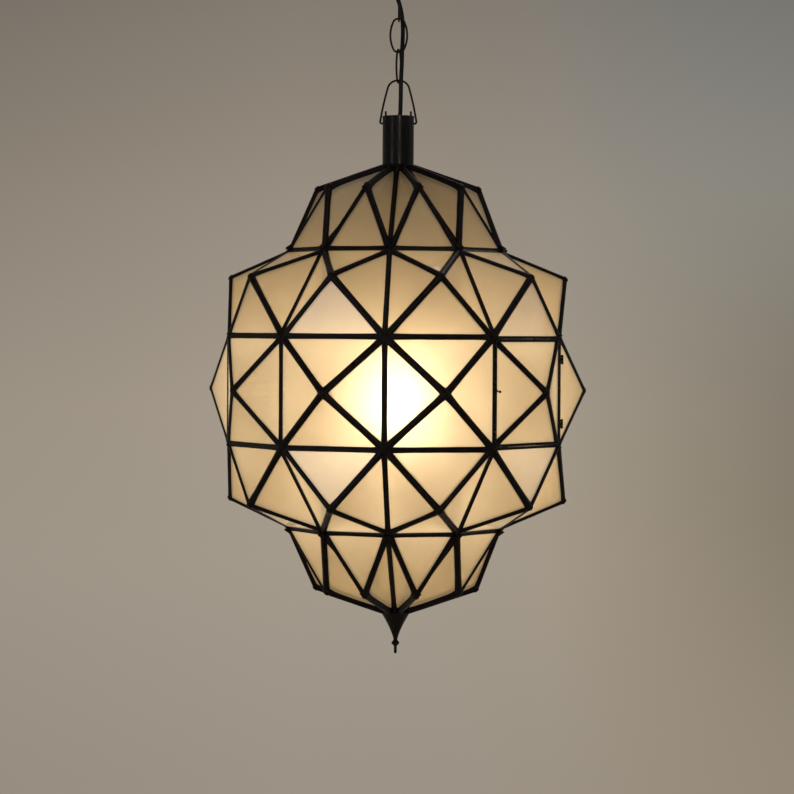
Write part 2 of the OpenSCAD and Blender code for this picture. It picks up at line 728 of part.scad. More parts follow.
module chain_link(i) {
  across = i % 2 == 0 ? 0 : i == 1 ? 90 - low_link_turn : 90;
  middle = link_foot_z(i) + link_half_h;
  color(metal) on_body() translate([0, 0, middle]) rotate([0, 0, across]) rotate([90, 0, 0]) {
    for (s = [-1, 1]) wire_x(-crown_flat, s * link_half_h, 2 * crown_flat, wire_r);
    both_sides() {
      tucked_arc([crown_flat, link_half_h - link_end_r], link_end_r, link_side, 90 - link_side, wire_r);
      tucked_arc([crown_flat, link_end_r - link_half_h], link_end_r, -90, 90 - link_side, wire_r);
      wire_arc([link_half_w + crown_flat - link_side_r, 0], link_side_r, -link_side, 2 * link_side, wire_r);
    }
  }
}
module chain_link_1() { chain_link(1); }
module chain_link_2() { chain_link(2); }
module chain_link_3() { chain_link(3); }
module chain_link_4() { chain_link(4); }

// Ceiling fitting
nut_r = 8;
nut_h = 4;
ring_wire_r = ring_wire_d / 2;
cord_hole_r = cord_d / 2 + 0.6;
hub_floor = ring_wire_d + 1;
ceiling_tube_top = hang_drop - bar_dip + nut_h + 0.2;
lead_drop = 3.2;
lead_z = hang_drop - lead_drop;
lead_r = 0.9;
lead_x = 0.8;
lead_spread = 3.2;
module hanging_ring() {
  color(metal) on_body() difference() {
    union() {
      translate([0, 0, ring_mid_z]) rotate([0, 0, 90]) rotate([90, 0, 0]) {
        for (s = [-1, 1]) wire_x(-crown_flat, s * ring_r, 2 * crown_flat, ring_wire_r);
        both_sides() tucked_arc([crown_flat, 0], ring_r, -90, 180, ring_wire_r);
      }
      translate([0, 0, hub_foot_z]) cylinder(r = hub_r, h = hub_h);
    }
    translate([0, 0, hub_foot_z - 1]) cylinder(r = cord_hole_r, h = hub_h);
    translate([0, 0, hub_foot_z + hub_floor]) cylinder(r = tube_r + thread_fit, h = hub_h);
  }
}
module ceiling_tube() {
  foot = hub_foot_z + hub_floor + 0.2;
  color(brass) on_body() translate([0, 0, foot]) difference() {
    cylinder(r = tube_r, h = ceiling_tube_top - foot);
    translate([0, 0, -1]) cylinder(r = tube_bore_r, h = hang_drop);
  }
}
module canopy() {
  dome_h = canopy_h - canopy_rim_h;
  dome_r = (canopy_r * canopy_r + dome_h * dome_h) / (2 * dome_h);
  flat_r = hub_r + 5;
  color(metal) on_body() translate([0, 0, hub_top_z]) rotate_extrude() {
    intersection() {
      difference() {
        translate([0, dome_r]) circle(r = dome_r, $fn = 240);
        translate([0, dome_r]) circle(r = dome_r - canopy_t, $fn = 240);
      }
      translate([flat_r - 1.5, 0]) square([canopy_r - flat_r + 1.5, dome_h]);
    }
    translate([tube_r + 0.3, 0]) square([flat_r - tube_r - 0.3, canopy_t]);
    translate([canopy_r - canopy_t, dome_h - canopy_t / 2]) square([canopy_t, canopy_rim_h + canopy_t / 2]);
  }
}
module crossbar() {
  flat_x = bar_l / 2 - slot_pitch / 4;
  dip_x = tube_r + 9;
  difference() {
    color(tin) union() {
      translate([0, bar_w / 2, 0]) rotate([90, 0, 0]) linear_extrude(bar_w) polygon(concat(
        [[bar_l / 2, 0], [flat_x, 0], [dip_x, -bar_dip], [-dip_x, -bar_dip], [-flat_x, 0], [-bar_l / 2, 0]],
        [[-bar_l / 2, -bar_t], [-flat_x - 1, -bar_t], [-dip_x - 1, -bar_dip - bar_t],
         [dip_x + 1, -bar_dip - bar_t], [flat_x + 1, -bar_t], [bar_l / 2, -bar_t]]));
      translate([-block_w / 2, 0, -bar_dip - bar_t]) cube([block_w, block_y + block_d, bar_t]);
    }
    translate([0, 0, -20]) cylinder(r = tube_r + thread_fit, h = 30);
    for (s = [-1, 1]) translate([s * slot_pitch / 2, 0, -bar_t - 1]) linear_extrude(bar_t + 2) {
      square([slot_l - slot_w, slot_w], center = true);
      for (e = [-1, 1]) translate([e * (slot_l - slot_w) / 2, 0]) circle(r = slot_w / 2);
    }
  }
}
module nut(z) {
  translate([0, 0, z]) difference() {
    cylinder(r = nut_r, h = nut_h, $fn = 6);
    translate([0, 0, -1]) cylinder(r = tube_r + thread_fit, h = nut_h + 2);
  }
}
module ceiling_nut() {
  color(brass) {
    nut(-bar_dip);
    nut(-bar_dip - bar_t - nut_h);
  }
}
block_w = 14;
block_d = 12;
block_h = 8;
supply_d = 5;
block_y = bar_w / 2 + 9;
module terminal_block() {
  color(ceramic) translate([-block_w / 2, block_y, -bar_dip]) difference() {
    cube([block_w, block_d, block_h]);
    for (s = [-1, 1]) translate([block_w / 2 + s * lead_spread, 0, 0]) {
      translate([0, -1, bar_dip - lead_drop]) rotate([-90, 0, 0])
        cylinder(r = lead_r + 0.2, h = block_d / 2 + 1);
      translate([0, block_d * 0.75, block_h - supply_d]) cylinder(r = lead_r + 0.2, h = supply_d + 1);
    }
  }
}
module ceiling_leads() {
  foot = cord_route[0][2];
  color(plastic) on_body() {
    translate([0, 0, foot]) cylinder(r = cord_d / 2, h = lead_z + lead_r + 0.4 - foot);
    for (s = [-1, 1]) {
      lead_run([s * lead_x, 0, lead_z], [s * lead_spread, bar_w / 2, lead_z], lead_r - 0.1);
      lead_run([s * lead_spread, bar_w / 2 - 1.2, lead_z],
        [s * lead_spread, block_y + block_d * 0.4, lead_z], lead_r);
    }
  }
}
module lead_run(p, q, r) {
  z = unit(q - p);
  x = unit(cross([0, 0, 1], z));
  multmatrix(frame_of(x, cross(z, x), z, p)) cylinder(r = r, h = norm(q - p));
}

// Lampholder, hung in the glass body from the strap in the collar
contact_z = bulb_z - bulb_r + bulb_l;
holder_foot_z = contact_z - 30;
core_foot_z = contact_z + 2;
cover_foot_z = holder_foot_z + holder_h;
cover_top_z = cover_foot_z + cover_h;
stem_foot_z = cover_foot_z + cover_h * 0.65;
grip_foot_z = strap_z + strap_t + nut_h + 0.4;
stem_top_z = grip_foot_z + 7;
grip_top_z = grip_foot_z + grip_l;
shell_t = 0.7;
cap_fit = 0.15;
module collar_strap() {
  color(tin) on_body() translate([0, 0, strap_z]) difference() {
    intersection() {
      cylinder(r = collar_r - collar_wall - 0.1, h = strap_t);
      translate([-collar_r, -strap_w / 2, -1]) cube([2 * collar_r, strap_w, strap_t + 2]);
    }
    translate([0, 0, -1]) cylinder(r = tube_r + thread_fit, h = strap_t + 2);
  }
}
module stem() {
  color(brass) on_body() translate([0, 0, stem_foot_z]) difference() {
    cylinder(r = tube_r, h = stem_top_z - stem_foot_z);
    translate([0, 0, -1]) cylinder(r = tube_bore_r, h = 2 * stem_top_z);
  }
}
module stem_nuts() {
  color(brass) on_body() for (z = [strap_z + strap_t, strap_z - nut_h, cover_top_z]) nut(z);
}
module cord_grip() {
  color(plastic) on_body() translate([0, 0, grip_foot_z]) difference() {
    rotate_extrude() polygon([
      [0, 0], [grip_r, 0], [grip_r, grip_l * 0.42], [grip_r - 1.2, grip_l * 0.5],
      [cord_d / 2 + 1.3, grip_l], [0, grip_l]]);
    translate([0, 0, -1]) cylinder(r = tube_r + thread_fit, h = stem_top_z - grip_foot_z + 1.2);
    cylinder(r = cord_d / 2 + 0.2, h = grip_l + 1);
  }
}
module inner_lead() {
  low = cover_foot_z + cover_h * 0.45;
  color(plastic) on_body() {
    translate([0, 0, low]) cylinder(r = cord_d / 2, h = grip_top_z - low);
    for (s = [-1, 1]) translate([s * lead_x, 0, cover_foot_z]) cylinder(r = lead_r, h = low - cover_foot_z + 1);
  }
}
module holder_cover() {
  neck = tube_r + 4;
  color(plastic) on_body() translate([0, 0, cover_foot_z]) rotate_extrude() polygon([
    [holder_r, 0], [holder_r, cover_h * 0.35], [holder_r - 3, cover_h * 0.55], [neck, cover_h * 0.75],
    [neck, cover_h], [tube_r + thread_fit, cover_h], [tube_r + thread_fit, cover_h * 0.5],
    [neck - 1, cover_h * 0.5], [holder_r - holder_wall - 2, cover_h * 0.35], [holder_r - holder_wall, 0]]);
}
module holder_body() {
  color(plastic) on_body() translate([0, 0, holder_foot_z]) rotate_extrude() polygon([
    [holder_r - holder_wall, 0], [holder_r - 0.8, 0], [holder_r, 0.8], [holder_r, holder_h],
    [holder_r - holder_wall, holder_h]]);
}
module holder_core() {
  color(ceramic) on_body() translate([0, 0, core_foot_z]) difference() {
    cylinder(r = holder_r - holder_wall - 0.1, h = cover_foot_z - core_foot_z);
    for (s = [-1, 1]) translate([s * 11, 0, cover_foot_z - core_foot_z - 3]) cylinder(r = 2, h = 4);
  }
}
module screw_shell() {
  color(brass) on_body() translate([0, 0, holder_foot_z + 5]) difference() {
    cylinder(r = cap_r + cap_fit + shell_t, h = core_foot_z - holder_foot_z - 5);
    translate([0, 0, -1]) cylinder(r = cap_r + cap_fit, h = holder_h);
  }
}
module holder_contact() {
  color(brass) on_body() translate([-3, -2.5, core_foot_z - 1.4]) {
    cube([11, 5, 0.6]);
    translate([8, 0, 0]) cube([1.4, 5, 1.4]);
  }
}

// Bulb: a globe running into a cone, tangent where they meet
neck_top_z = contact_z - 2 - cap_h;
neck_glass_r = cap_r - 0.6;
module bulb_form(t) {
  reach = norm([neck_glass_r, neck_top_z - bulb_z]);
  lean = atan2(neck_glass_r, neck_top_z - bulb_z) + acos(bulb_r / reach);
  r = bulb_r - t;
  low = bulb_z + r * cos(lean);
  translate([0, 0, bulb_z]) sphere(r = r, $fn = 96);
  translate([0, 0, low]) cylinder(r1 = r * sin(lean), r2 = neck_glass_r - t, h = neck_top_z - low, $fn = 96);
  translate([0, 0, neck_top_z - 0.01]) cylinder(r = neck_glass_r - t, h = cap_h * 0.3);
}
module bulb_glass() {
  color("#fff6e4") on_body() difference() {
    bulb_form(0);
    bulb_form(0.9);
    translate([0, 0, neck_top_z + cap_h * 0.2]) cylinder(r = neck_glass_r - 0.9, h = cap_h);
  }
}
module bulb_cap() {
  pitch = 3.6;
  turns = 5;
  foot = cap_h - turns * pitch;
  color("#b9b6b0") on_body() translate([0, 0, neck_top_z]) rotate_extrude() polygon(concat(
    [[neck_glass_r + 0.05, 0], [cap_r - 0.5, 0], [cap_r - 0.5, foot]],
    [for (i = [0:turns - 1]) each [
      [cap_r, foot + (i + 0.35) * pitch], [cap_r - 0.6, foot + (i + 0.9) * pitch]]],
    [[cap_r - 2, cap_h], [5.2, cap_h], [5.2, cap_h - 0.7],
     [neck_glass_r - 1.5, cap_h - 0.7], [neck_glass_r + 0.05, cap_h - 1.5]]));
}
module bulb_contact() {
  color("#2a2a2c") on_body() translate([0, 0, contact_z - 3]) {
    cylinder(r = 5, h = 1.6);
    translate([0, 0, 1]) cylinder(r1 = 4.6, r2 = 3.4, h = 2);
  }
}
module bulb_filament() {
  mount_h = 30;
  color("#f4e3b5") on_body() translate([0, 0, neck_top_z - mount_h]) {
    cylinder(r1 = 2.2, r2 = 4, h = mount_h);
    translate([0, 0, mount_h - 0.5]) cylinder(r = neck_glass_r - 1.1, h = 1.5);
    for (s = [-1, 1]) lead_wire([s * 1.5, 0, 2], [s * 10, 0, -9]);
    translate([-10, 0, -9]) rotate([0, 90, 0]) cylinder(r = 0.7, h = 20);
  }
}
module lead_wire(p, q) {
  z = unit(q - p);
  x = unit(cross([0, 1, 0], z));
  multmatrix(frame_of(x, cross(z, x), z, p)) cylinder(r = 0.35, h = norm(q - p));
}

// The free cord: points from the hub down to the grip, x and y from the axis and z over the equator
cord_route = [
  [0, 0, 488], [-0.8, -1.2, 479.5], [-3.2, -3.4, 471], [-4.7, -4, 462],
  [-4.4, -1.2, 451], [-3.9, 2.2, 442.5], [-3.9, 4.2, 434], [-2.1, 4, 425.5],
  [0.6, 3.4, 417], [2.6, 3.2, 408.5], [3.9, 3.6, 400], [4.4, 2.4, 391.5],
  [4.4, -0.4, 383], [4.1, -2.9, 374.5], [3.7, -4.1, 366], [3.6, -4.2, 358],
  [3.4, -4.2, 350], [3, -4.2, 341.5], [2.7, -4.1, 333], [2.6, -3.9, 324],
  [2.5, -3.4, 315], [2.3, -2.5, 307], [2.1, -1.4, 299.5], [1, -0.4, 292],
  [0, 0, 284.4]];
cord_run = 4;
cord_sides = 10;
cord_last = len(cord_route) - 1;
function cord_dir(i) =
  i == 0 || i == cord_last ? [0, 0, -1] : unit(cord_route[i + 1] - cord_route[i - 1]);
function cord_ring(i) =
  let (d = cord_dir(i), u = unit(cross(d, [0, 1, 0])), v = cross(d, u))
  [for (n = [0:cord_sides - 1])
    cord_route[i] + cord_d / 2 * (u * cos(n * 360 / cord_sides) + v * sin(n * 360 / cord_sides))];
module cord_part(part) {
  first = (part - 1) * cord_run;
  rings = [for (i = [first:first + cord_run]) each cord_ring(i)];
  color(plastic) on_body() polyhedron(points = rings, faces = concat(
    [[for (n = [0:cord_sides - 1]) n]],
    [[for (n = [cord_sides - 1:-1:0]) cord_run * cord_sides + n]],
    [for (r = [0:cord_run - 1]) for (n = [0:cord_sides - 1]) let (m = (n + 1) % cord_sides)
      [r * cord_sides + m, r * cord_sides + n, (r + 1) * cord_sides + n, (r + 1) * cord_sides + m]]));
}
module cord_1() { cord_part(1); }
module cord_2() { cord_part(2); }
module cord_3() { cord_part(3); }
module cord_4() { cord_part(4); }
module cord_5() { cord_part(5); }
module cord_6() { cord_part(6); }

canopy();
crossbar();
ceiling_tube();
ceiling_nut();
hanging_ring();
terminal_block();
ceiling_leads();
chain_link_1();
chain_link_2();
chain_link_3();
chain_link_4();
bail();
collar();
collar_strap();
stem();
stem_nuts();
cord_grip();
inner_lead();
holder_cover();
holder_body();
holder_core();
screw_shell();
holder_contact();
bulb_glass();
bulb_cap();
bulb_contact();
bulb_filament();
crown_frame();
upper_frame();
belt_frame();
lower_frame();
base_frame();
finial();
crown_side_panes();
crown_front_panes();
upper_roof_panes();
upper_side_panes();
upper_face_panes();
belt_top_panes();
belt_side_panes();
belt_bottom_panes();
lower_face_panes();
lower_side_panes();
lower_roof_panes();
base_front_panes();
base_side_panes();
door_rim();
door_frame();
door_panes();
door_hinge_leaves();
frame_hinge_leaves();
hinge_pins();
latch_post();
latch();
cord_1();
cord_2();
cord_3();
cord_4();
cord_5();
cord_6();
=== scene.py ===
"""Looks of a faceted white-glass lantern, lit from inside and hung by a bail, a chain and its cord."""

import logging
import math
from dataclasses import dataclass, field
from enum import Enum

import bpy
from mathutils import Matrix, Vector, noise


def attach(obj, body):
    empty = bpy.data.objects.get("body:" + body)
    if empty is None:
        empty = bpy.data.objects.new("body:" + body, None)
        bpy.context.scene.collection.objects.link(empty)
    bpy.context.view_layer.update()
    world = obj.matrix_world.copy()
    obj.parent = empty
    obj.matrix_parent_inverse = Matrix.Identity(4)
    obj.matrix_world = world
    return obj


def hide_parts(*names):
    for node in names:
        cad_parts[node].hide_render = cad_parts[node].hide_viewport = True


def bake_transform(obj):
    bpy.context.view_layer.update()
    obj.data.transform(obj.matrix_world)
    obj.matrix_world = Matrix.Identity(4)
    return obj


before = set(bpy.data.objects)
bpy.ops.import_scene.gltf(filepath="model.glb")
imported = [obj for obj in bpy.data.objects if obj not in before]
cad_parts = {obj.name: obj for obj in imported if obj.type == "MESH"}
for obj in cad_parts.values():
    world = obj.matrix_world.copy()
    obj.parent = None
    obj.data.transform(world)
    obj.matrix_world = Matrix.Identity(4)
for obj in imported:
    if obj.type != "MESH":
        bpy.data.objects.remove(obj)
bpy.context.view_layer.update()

logging.basicConfig(level=logging.INFO, format="%(message)s")
log = logging.getLogger("lantern")

Colour = tuple[float, float, float]
Span = tuple[float, float, float, float]
MM = 0.001
HANG_DROP = 0.5251128
BULB_DROP = 0.018
BODY_CENTRE = Vector((0.0, 0.0, -HANG_DROP))
LAMP_CENTRE = Vector((0.0, 0.0, -BULB_DROP - HANG_DROP))
SMOOTH_ANGLE = 50.0


# Shader tools
class Port:
    """An output of a shader node that can be used in sums like a number."""

    def __init__(self, bench: "Bench", socket: bpy.types.NodeSocket) -> None:
        """Keep the bench that made the node and the output socket."""
        self.bench = bench
        self.socket = socket

    def __add__(self, other: "Port | float") -> "Port":
        """Add."""
        return self.bench.maths("ADD", self, other)

    def __radd__(self, other: float) -> "Port":
        """Add to a number."""
        return self.bench.maths("ADD", other, self)

    def __sub__(self, other: "Port | float") -> "Port":
        """Subtract."""
        return self.bench.maths("SUBTRACT", self, other)

    def __rsub__(self, other: float) -> "Port":
        """Subtract from a number."""
        return self.bench.maths("SUBTRACT", other, self)

    def __mul__(self, other: "Port | float") -> "Port":
        """Multiply."""
        return self.bench.maths("MULTIPLY", self, other)

    def __rmul__(self, other: float) -> "Port":
        """Multiply a number."""
        return self.bench.maths("MULTIPLY", other, self)

    def __truediv__(self, other: "Port | float") -> "Port":
        """Divide."""
        return self.bench.maths("DIVIDE", self, other)

    def __rtruediv__(self, other: float) -> "Port":
        """Divide a number."""
        return self.bench.maths("DIVIDE", other, self)

    def __pow__(self, other: float) -> "Port":
        """Raise to a power."""
        return self.bench.maths("POWER", self, other)


class Bench:
    """Adds nodes to one node tree."""

    def __init__(self, tree: bpy.types.NodeTree) -> None:
        """Start with an empty tree."""
        self.tree = tree
        self.tree.nodes.clear()

    def node(
        self, kind: str, settings: dict | None = None, sockets: dict | None = None, output: int | str = 0
    ) -> Port:
        """Add a node.

        Args:
            kind: type of the node.
            settings: its properties; "stops" holds the positions and colours of a ramp.
            sockets: numbers, colours or ports for its inputs, by name or place.
            output: name or place of the output to hand back.

        Returns:
            The port of that output.
        """
        made = self.tree.nodes.new(kind)
        for name, value in (settings or {}).items():
            if name == "stops":
                self._set_stops(made.color_ramp, value)
            else:
                setattr(made, name, value)
        for name, value in (sockets or {}).items():
            if isinstance(value, Port):
                self.tree.links.new(value.socket, made.inputs[name])
            elif isinstance(value, tuple) and len(value) == 3 and made.inputs[name].type == "RGBA":
                made.inputs[name].default_value = (*value, 1.0)
            else:
                made.inputs[name].default_value = value
        return Port(self, made.outputs[output]) if made.outputs else Port(self, None)

    def _set_stops(self, ramp: bpy.types.ColorRamp, stops: list[tuple[float, Colour]]) -> None:
        """Give a ramp its stops.

        Args:
            ramp: ramp to change.
            stops: positions and colours in order.
        """
        while len(ramp.elements) > 1:
            ramp.elements.remove(ramp.elements[-1])
        ramp.elements[0].position = stops[0][0]
        ramp.elements[0].color = (*stops[0][1], 1.0)
        for place, colour in stops[1:]:
            ramp.elements.new(place).color = (*colour, 1.0)

    def maths(self, operation: str, left: Port | float, right: Port | float = 0.0) -> Port:
        """Add a Math node on one or two values."""
        return self.node("ShaderNodeMath", {"operation": operation}, {0: left, 1: right})

    def place(self) -> Port:
        """Point on the piece, in metres in the shared frame at rest."""
        return self.node("ShaderNodeTexCoord", output="Object")

    def vector(self, operation: str, left: Port | tuple, right: Port | tuple, output: int = 0) -> Port:
        """Add a Vector Math node on two vectors."""
        return self.node("ShaderNodeVectorMath", {"operation": operation}, {0: left, 1: right}, output)

    def length(self, vector: Port) -> Port:
        """Give the length of a vector."""
        return self.vector("LENGTH", vector, (0.0, 0.0, 0.0), 1)

    def part(self, vector: Port, axis: int) -> Port:
        """Give one coordinate of a vector."""
        return self.node("ShaderNodeSeparateXYZ", {}, {0: vector}, axis)

    def from_axis(self) -> Port:
        """Distance of a point on the piece from the upright axis, in metres."""
        return self.length(self.vector("MULTIPLY", self.place(), (1.0, 1.0, 0.0)))

    def slide(self, value: Port, low: float, high: float) -> Port:
        """Map a value evenly to 0 at one limit and 1 at the other, held at the ends."""
        return self.node("ShaderNodeMapRange", {}, {0: value, 1: low, 2: high})

    def scaled(self, vector: Port, amount: Port) -> Port:
        """Scale a vector or colour."""
        return self.node("ShaderNodeVectorMath", {"operation": "SCALE"}, {0: vector, "Scale": amount})

    def mix(self, mask: Port | float, low: Port | Colour, high: Port | Colour) -> Port:
        """Mix two colours by a mask."""
        return self.node("ShaderNodeMix", {"data_type": "RGBA"}, {0: mask, 6: low, 7: high}, 2)

    def grain(
        self, size: float, detail: float = 3.0, stretch: Colour = (1.0, 1.0, 1.0), seed: float = 0.0
    ) -> Port:
        """Noise over the piece.

        Args:
            size: size of its largest marks in metres.
            detail: number of finer layers.
            stretch: factor on each axis, where less makes longer marks.
            seed: shift that gives another pattern.

        Returns:
            A port from 0 to 1 with a middle near a half.
        """
        point = self.vector("MULTIPLY_ADD", self.place(), stretch)
        self.tree.nodes[-1].inputs[2].default_value = (seed, seed * 0.7, -seed)
        return self.node("ShaderNodeTexNoise", {}, {"Vector": point, "Scale": 1.0 / size, "Detail": detail})

    def span(self, value: Port, low: float, high: float, to_low: float = 0.0, to_high: float = 1.0) -> Port:
        """Map a value smoothly from one range to another, held at the ends.

        Args:
            value: value to map.
            low: first limit of the value.
            high: second limit of the value.
            to_low: result at the first limit.
            to_high: result at the second limit.

        Returns:
            The port of the mapped value.
        """
        settings = {"interpolation_type": "SMOOTHSTEP"}
        sockets = {0: value, 1: low, 2: high, 3: to_low, 4: to_high}
        return self.node("ShaderNodeMapRange", settings, sockets)

    def bump(self, height: Port, depth: float) -> Port:
        """Turn a height from 0 to 1 into a normal.

        Args:
            height: height over the surface.
            depth: depth of the relief in metres.

        Returns:
            The port to use as a normal.
        """
        return self.node("ShaderNodeBump", {}, {"Height": height, "Distance": depth, "Strength": 1.0})

    def principled(self, **sockets: object) -> Port:
        """Add the surface shader, with spaces in its socket names written as underscores."""
        named = {name.replace("_", " "): value for name, value in sockets.items()}
        return self.node("ShaderNodeBsdfPrincipled", {}, named)

    def finish_surface(self, shader: Port) -> None:
        """Send a shader to the output."""
        self.node("ShaderNodeOutputMaterial", {}, {"Surface": shader})


def new_surface(name: str) -> tuple[bpy.types.Material, Bench]:
    """Make an empty material.

    Args:
        name: name of the material.

    Returns:
        The material and the bench for its nodes.
    """
    material = bpy.data.materials.new(name)
    material.use_nodes = True
    return material, Bench(material.node_tree)


# Finishes
class Surface:
    """A finish that builds its own shader."""

    def shader(self, bench: Bench) -> Port:
        """Build the shader of the finish.

        Args:
            bench: bench for the nodes of the material.

        Returns:
            The port of the surface shader.
        """
        raise NotImplementedError


@dataclass(frozen=True)
class OpalGlass(Surface):
    """White glass, polished outside, with a painted glow that stands for the light of the lamp behind it.

    Each span holds a low and a high limit and the share of the painted glow at each of them.
    """

    name: str = "opal_glass"
    body: Colour = (0.25, 0.195, 0.12)
    dim: Colour = (0.5, 0.332, 0.146)
    bright: Colour = (0.56, 0.416, 0.238)
    glow: float = 0.84
    lamp_reach: float = 0.19
    through: float = 0.78
    blur: float = 0.57
    # Spans of painted light and shade in the glow: painted shade near the collar and the finial; painted
    # glow brighter upward and straight over the finial, dimmer round the belt and brighter at glancing
    # views.
    root_shade_by_height: Span = (-0.2, 0.2, 0.9, 0.5)
    root_shade_zone: tuple[float, float] = (0.015, 0.075)
    shade_under_collar: Span = (0.35, 0.95, 1.0, 0.5)
    glow_foot_to_top: Span = (-0.5, 0.5, 0.95, 1.07)
    glow_over_finial: Span = (-0.98, -0.86, 1.25, 0.97)
    belt: Span = (0.02, 0.12, 0.88, 1.0)
    outline: Span = (0.6, 0.8, 1.0, 1.26)
    half_turned_glow: Span = (0.3, 0.45, 1.0, 0.96)
    glow_tint_zone: tuple[float, float] = (0.35, 1.05)
    streak_share: float = 0.16
    cloud_share: float = 0.07
    swirl_base: float = 0.885

    def shader(self, bench: Bench) -> Port:
        """Build glass whose painted glow falls with the distance and the slant of its lamp light.

        Args:
            bench: bench for the nodes of the material.

        Returns:
            The port of the surface shader.
        """
        away = bench.vector("SUBTRACT", bench.place(), tuple(LAMP_CENTRE))
        distance = bench.length(away)
        toward = bench.vector("NORMALIZE", away, (0.0, 0.0, 0.0))
        facing = bench.node("ShaderNodeNewGeometry", output="True Normal")
        local = bench.node(
            "ShaderNodeVectorTransform",
            {"vector_type": "NORMAL", "convert_from": "WORLD", "convert_to": "OBJECT"},
            {0: facing},
        )
        lean = bench.maths("ABSOLUTE", bench.vector("DOT_PRODUCT", local, toward, 1))
        upward = bench.part(toward, 2)
        from_axis = bench.from_axis()
        # painted shade: the glow darkens toward the top and near the axis, strongly under the collar and a
        # little over the finial
        root_shade_level = bench.span(upward, *self.root_shade_by_height)
        shade_under_collar = bench.span(upward, *self.shade_under_collar)
        shade = shade_under_collar * bench.span(from_axis, *self.root_shade_zone, root_shade_level, 1.0)
        # painted glow: brighter toward the top and straight over the finial
        tiers = bench.span(upward, *self.glow_foot_to_top) * bench.span(upward, *self.glow_over_finial)
        # painted glow by view angle: the glow is brighter where the glass is seen at a glancing angle
        turned = bench.node("ShaderNodeLayerWeight", {}, {"Blend": 0.5}, "Facing")
        # painted glow: dimmer round the belt
        belt_glow_band = bench.span(upward * upward, *self.belt)
        edge = bench.span(turned, *self.outline) * bench.span(turned, *self.half_turned_glow)
        streaks = bench.grain(0.05, 2.0, (1.0, 1.0, 0.45))
        clouds = bench.grain(0.009, 3.0, seed=3.0)
        swirl = streaks * self.streak_share + clouds * self.cloud_share + self.swirl_base
        # painted glow: emission that stands for the lamp's light through the glass, falling with distance
        # and slant, deeper amber where it is dimmer
        fall = (self.lamp_reach / distance) ** 2.0
        level = fall * lean * shade * tiers * belt_glow_band * edge * swirl * self.glow
        tint = bench.mix(bench.span(level, *self.glow_tint_zone), self.dim, self.bright)
        fleck = bench.grain(0.0016, 4.0, seed=8.0)
        ripple = bench.grain(0.03, 2.0, seed=5.0)
        density = bench.grain(0.035, 3.0, seed=11.0)
        milk = bench.mix(bench.span(density, 0.3, 0.7), tuple(c * 0.9 for c in self.body), self.body)
        return bench.principled(
            Base_Color=milk,
            Roughness=self.blur,
            IOR=1.46,
            Transmission_Weight=self.through,
            Coat_Weight=0.9,
            Coat_Roughness=0.03,
            Coat_IOR=1.52,
            Emission_Color=bench.scaled(tint, level),
            Emission_Strength=1.0,
            Normal=bench.bump(ripple + fleck * 0.08, 0.00006),
        )


@dataclass(frozen=True)
class MetalFinish(Surface):
    """A metal, plain or blackened, with mottling, fine grain and worn places."""

    name: str
    dark: Colour
    light: Colour
    metallic: float = 1.0
    rough: tuple[float, float] = (0.25, 0.45)
    mark: float = 0.006
    stretch: Colour = (1.0, 1.0, 1.0)
    relief: float = 0.00008
    specular: float = 0.5
    worn: Colour | None = None
    worn_share: tuple[float, float] = (0.68, 0.8)

    def shader(self, bench: Bench) -> Port:
        """Build mottled metal with fine pits and rubbed places.

        Args:
            bench: bench for the nodes of the material.

        Returns:
            The port of the surface shader.
        """
        broad = bench.grain(self.mark * 4.0, 3.0, self.stretch)
        fine = bench.grain(self.mark, 5.0, self.stretch, seed=4.0)
        colour = bench.mix(bench.span(broad * 0.5 + fine * 0.5, 0.35, 0.65), self.dark, self.light)
        if self.worn:
            rubbed = bench.span(fine, *self.worn_share)
            colour = bench.mix(rubbed, colour, self.worn)
        roughness = bench.span(fine, 0.3, 0.7, *self.rough)
        pits = bench.grain(self.mark * 0.35, 3.0, self.stretch, seed=9.0)
        return bench.principled(
            Base_Color=colour,
            Metallic=self.metallic,
            Roughness=roughness,
            Specular_IOR_Level=self.specular,
            Normal=bench.bump(broad * 0.6 + fine * 0.3 + pits * 0.1, self.relief),
        )


@dataclass(frozen=True)
class MouldedFinish(Surface):
    """Plastic or glazed clay with faint mottling and a soft or glazed surface."""

    name: str
    colour: Colour
    shade: Colour
    rough: tuple[float, float]
    mark: float = 0.002
    relief: float = 0.00004
    coat: float = 0.0
    specular: float = 0.4

    def shader(self, bench: Bench) -> Port:
        """Build a moulded surface with faint mottling.

        Args:
            bench: bench for the nodes of the material.

        Returns:
            The port of the surface shader.
        """
        broad = bench.grain(self.mark * 6.0, 3.0)
        fine = bench.grain(self.mark, 4.0, seed=6.0)
        return bench.principled(
            Base_Color=bench.mix(bench.span(broad, 0.3, 0.7), self.shade, self.colour),
            Roughness=bench.span(fine, 0.3, 0.7, *self.rough),
            Specular_IOR_Level=self.specular,
            Coat_Weight=self.coat,
            Coat_Roughness=0.08,
            Normal=bench.bump(fine, self.relief),
        )


@dataclass(frozen=True)
class LitBulb(Surface):
    """Frosted bulb glass, lit, brightest round its middle and dimmer toward its cap."""

    name: str = "bulb_glass"
    glass: Colour = (0.9, 0.86, 0.78)
    light: Colour = (1.0, 0.95, 0.86)
    strength: float = 350.0

    def shader(self, bench: Bench) -> Port:
        """Build frosted glass that is brightest round its middle.

        Args:
            bench: bench for the nodes of the material.

        Returns:
            The port of the surface shader.
        """
        height = bench.part(bench.place(), 2)
        level = bench.span(height, LAMP_CENTRE.z + 0.012, LAMP_CENTRE.z + 0.05, 1.0, 0.25)
        frost = bench.grain(0.0012, 3.0)
        warmth = bench.mix(level, (1.0, 0.68, 0.36), self.light)
        return bench.principled(
            Base_Color=self.glass,
            Roughness=bench.span(frost, 0.3, 0.7, 0.45, 0.6),
            Emission_Color=bench.scaled(warmth, level * (0.94 + frost * 0.12)),
            Emission_Strength=self.strength,
            Normal=bench.bump(frost, 0.00003),
        )


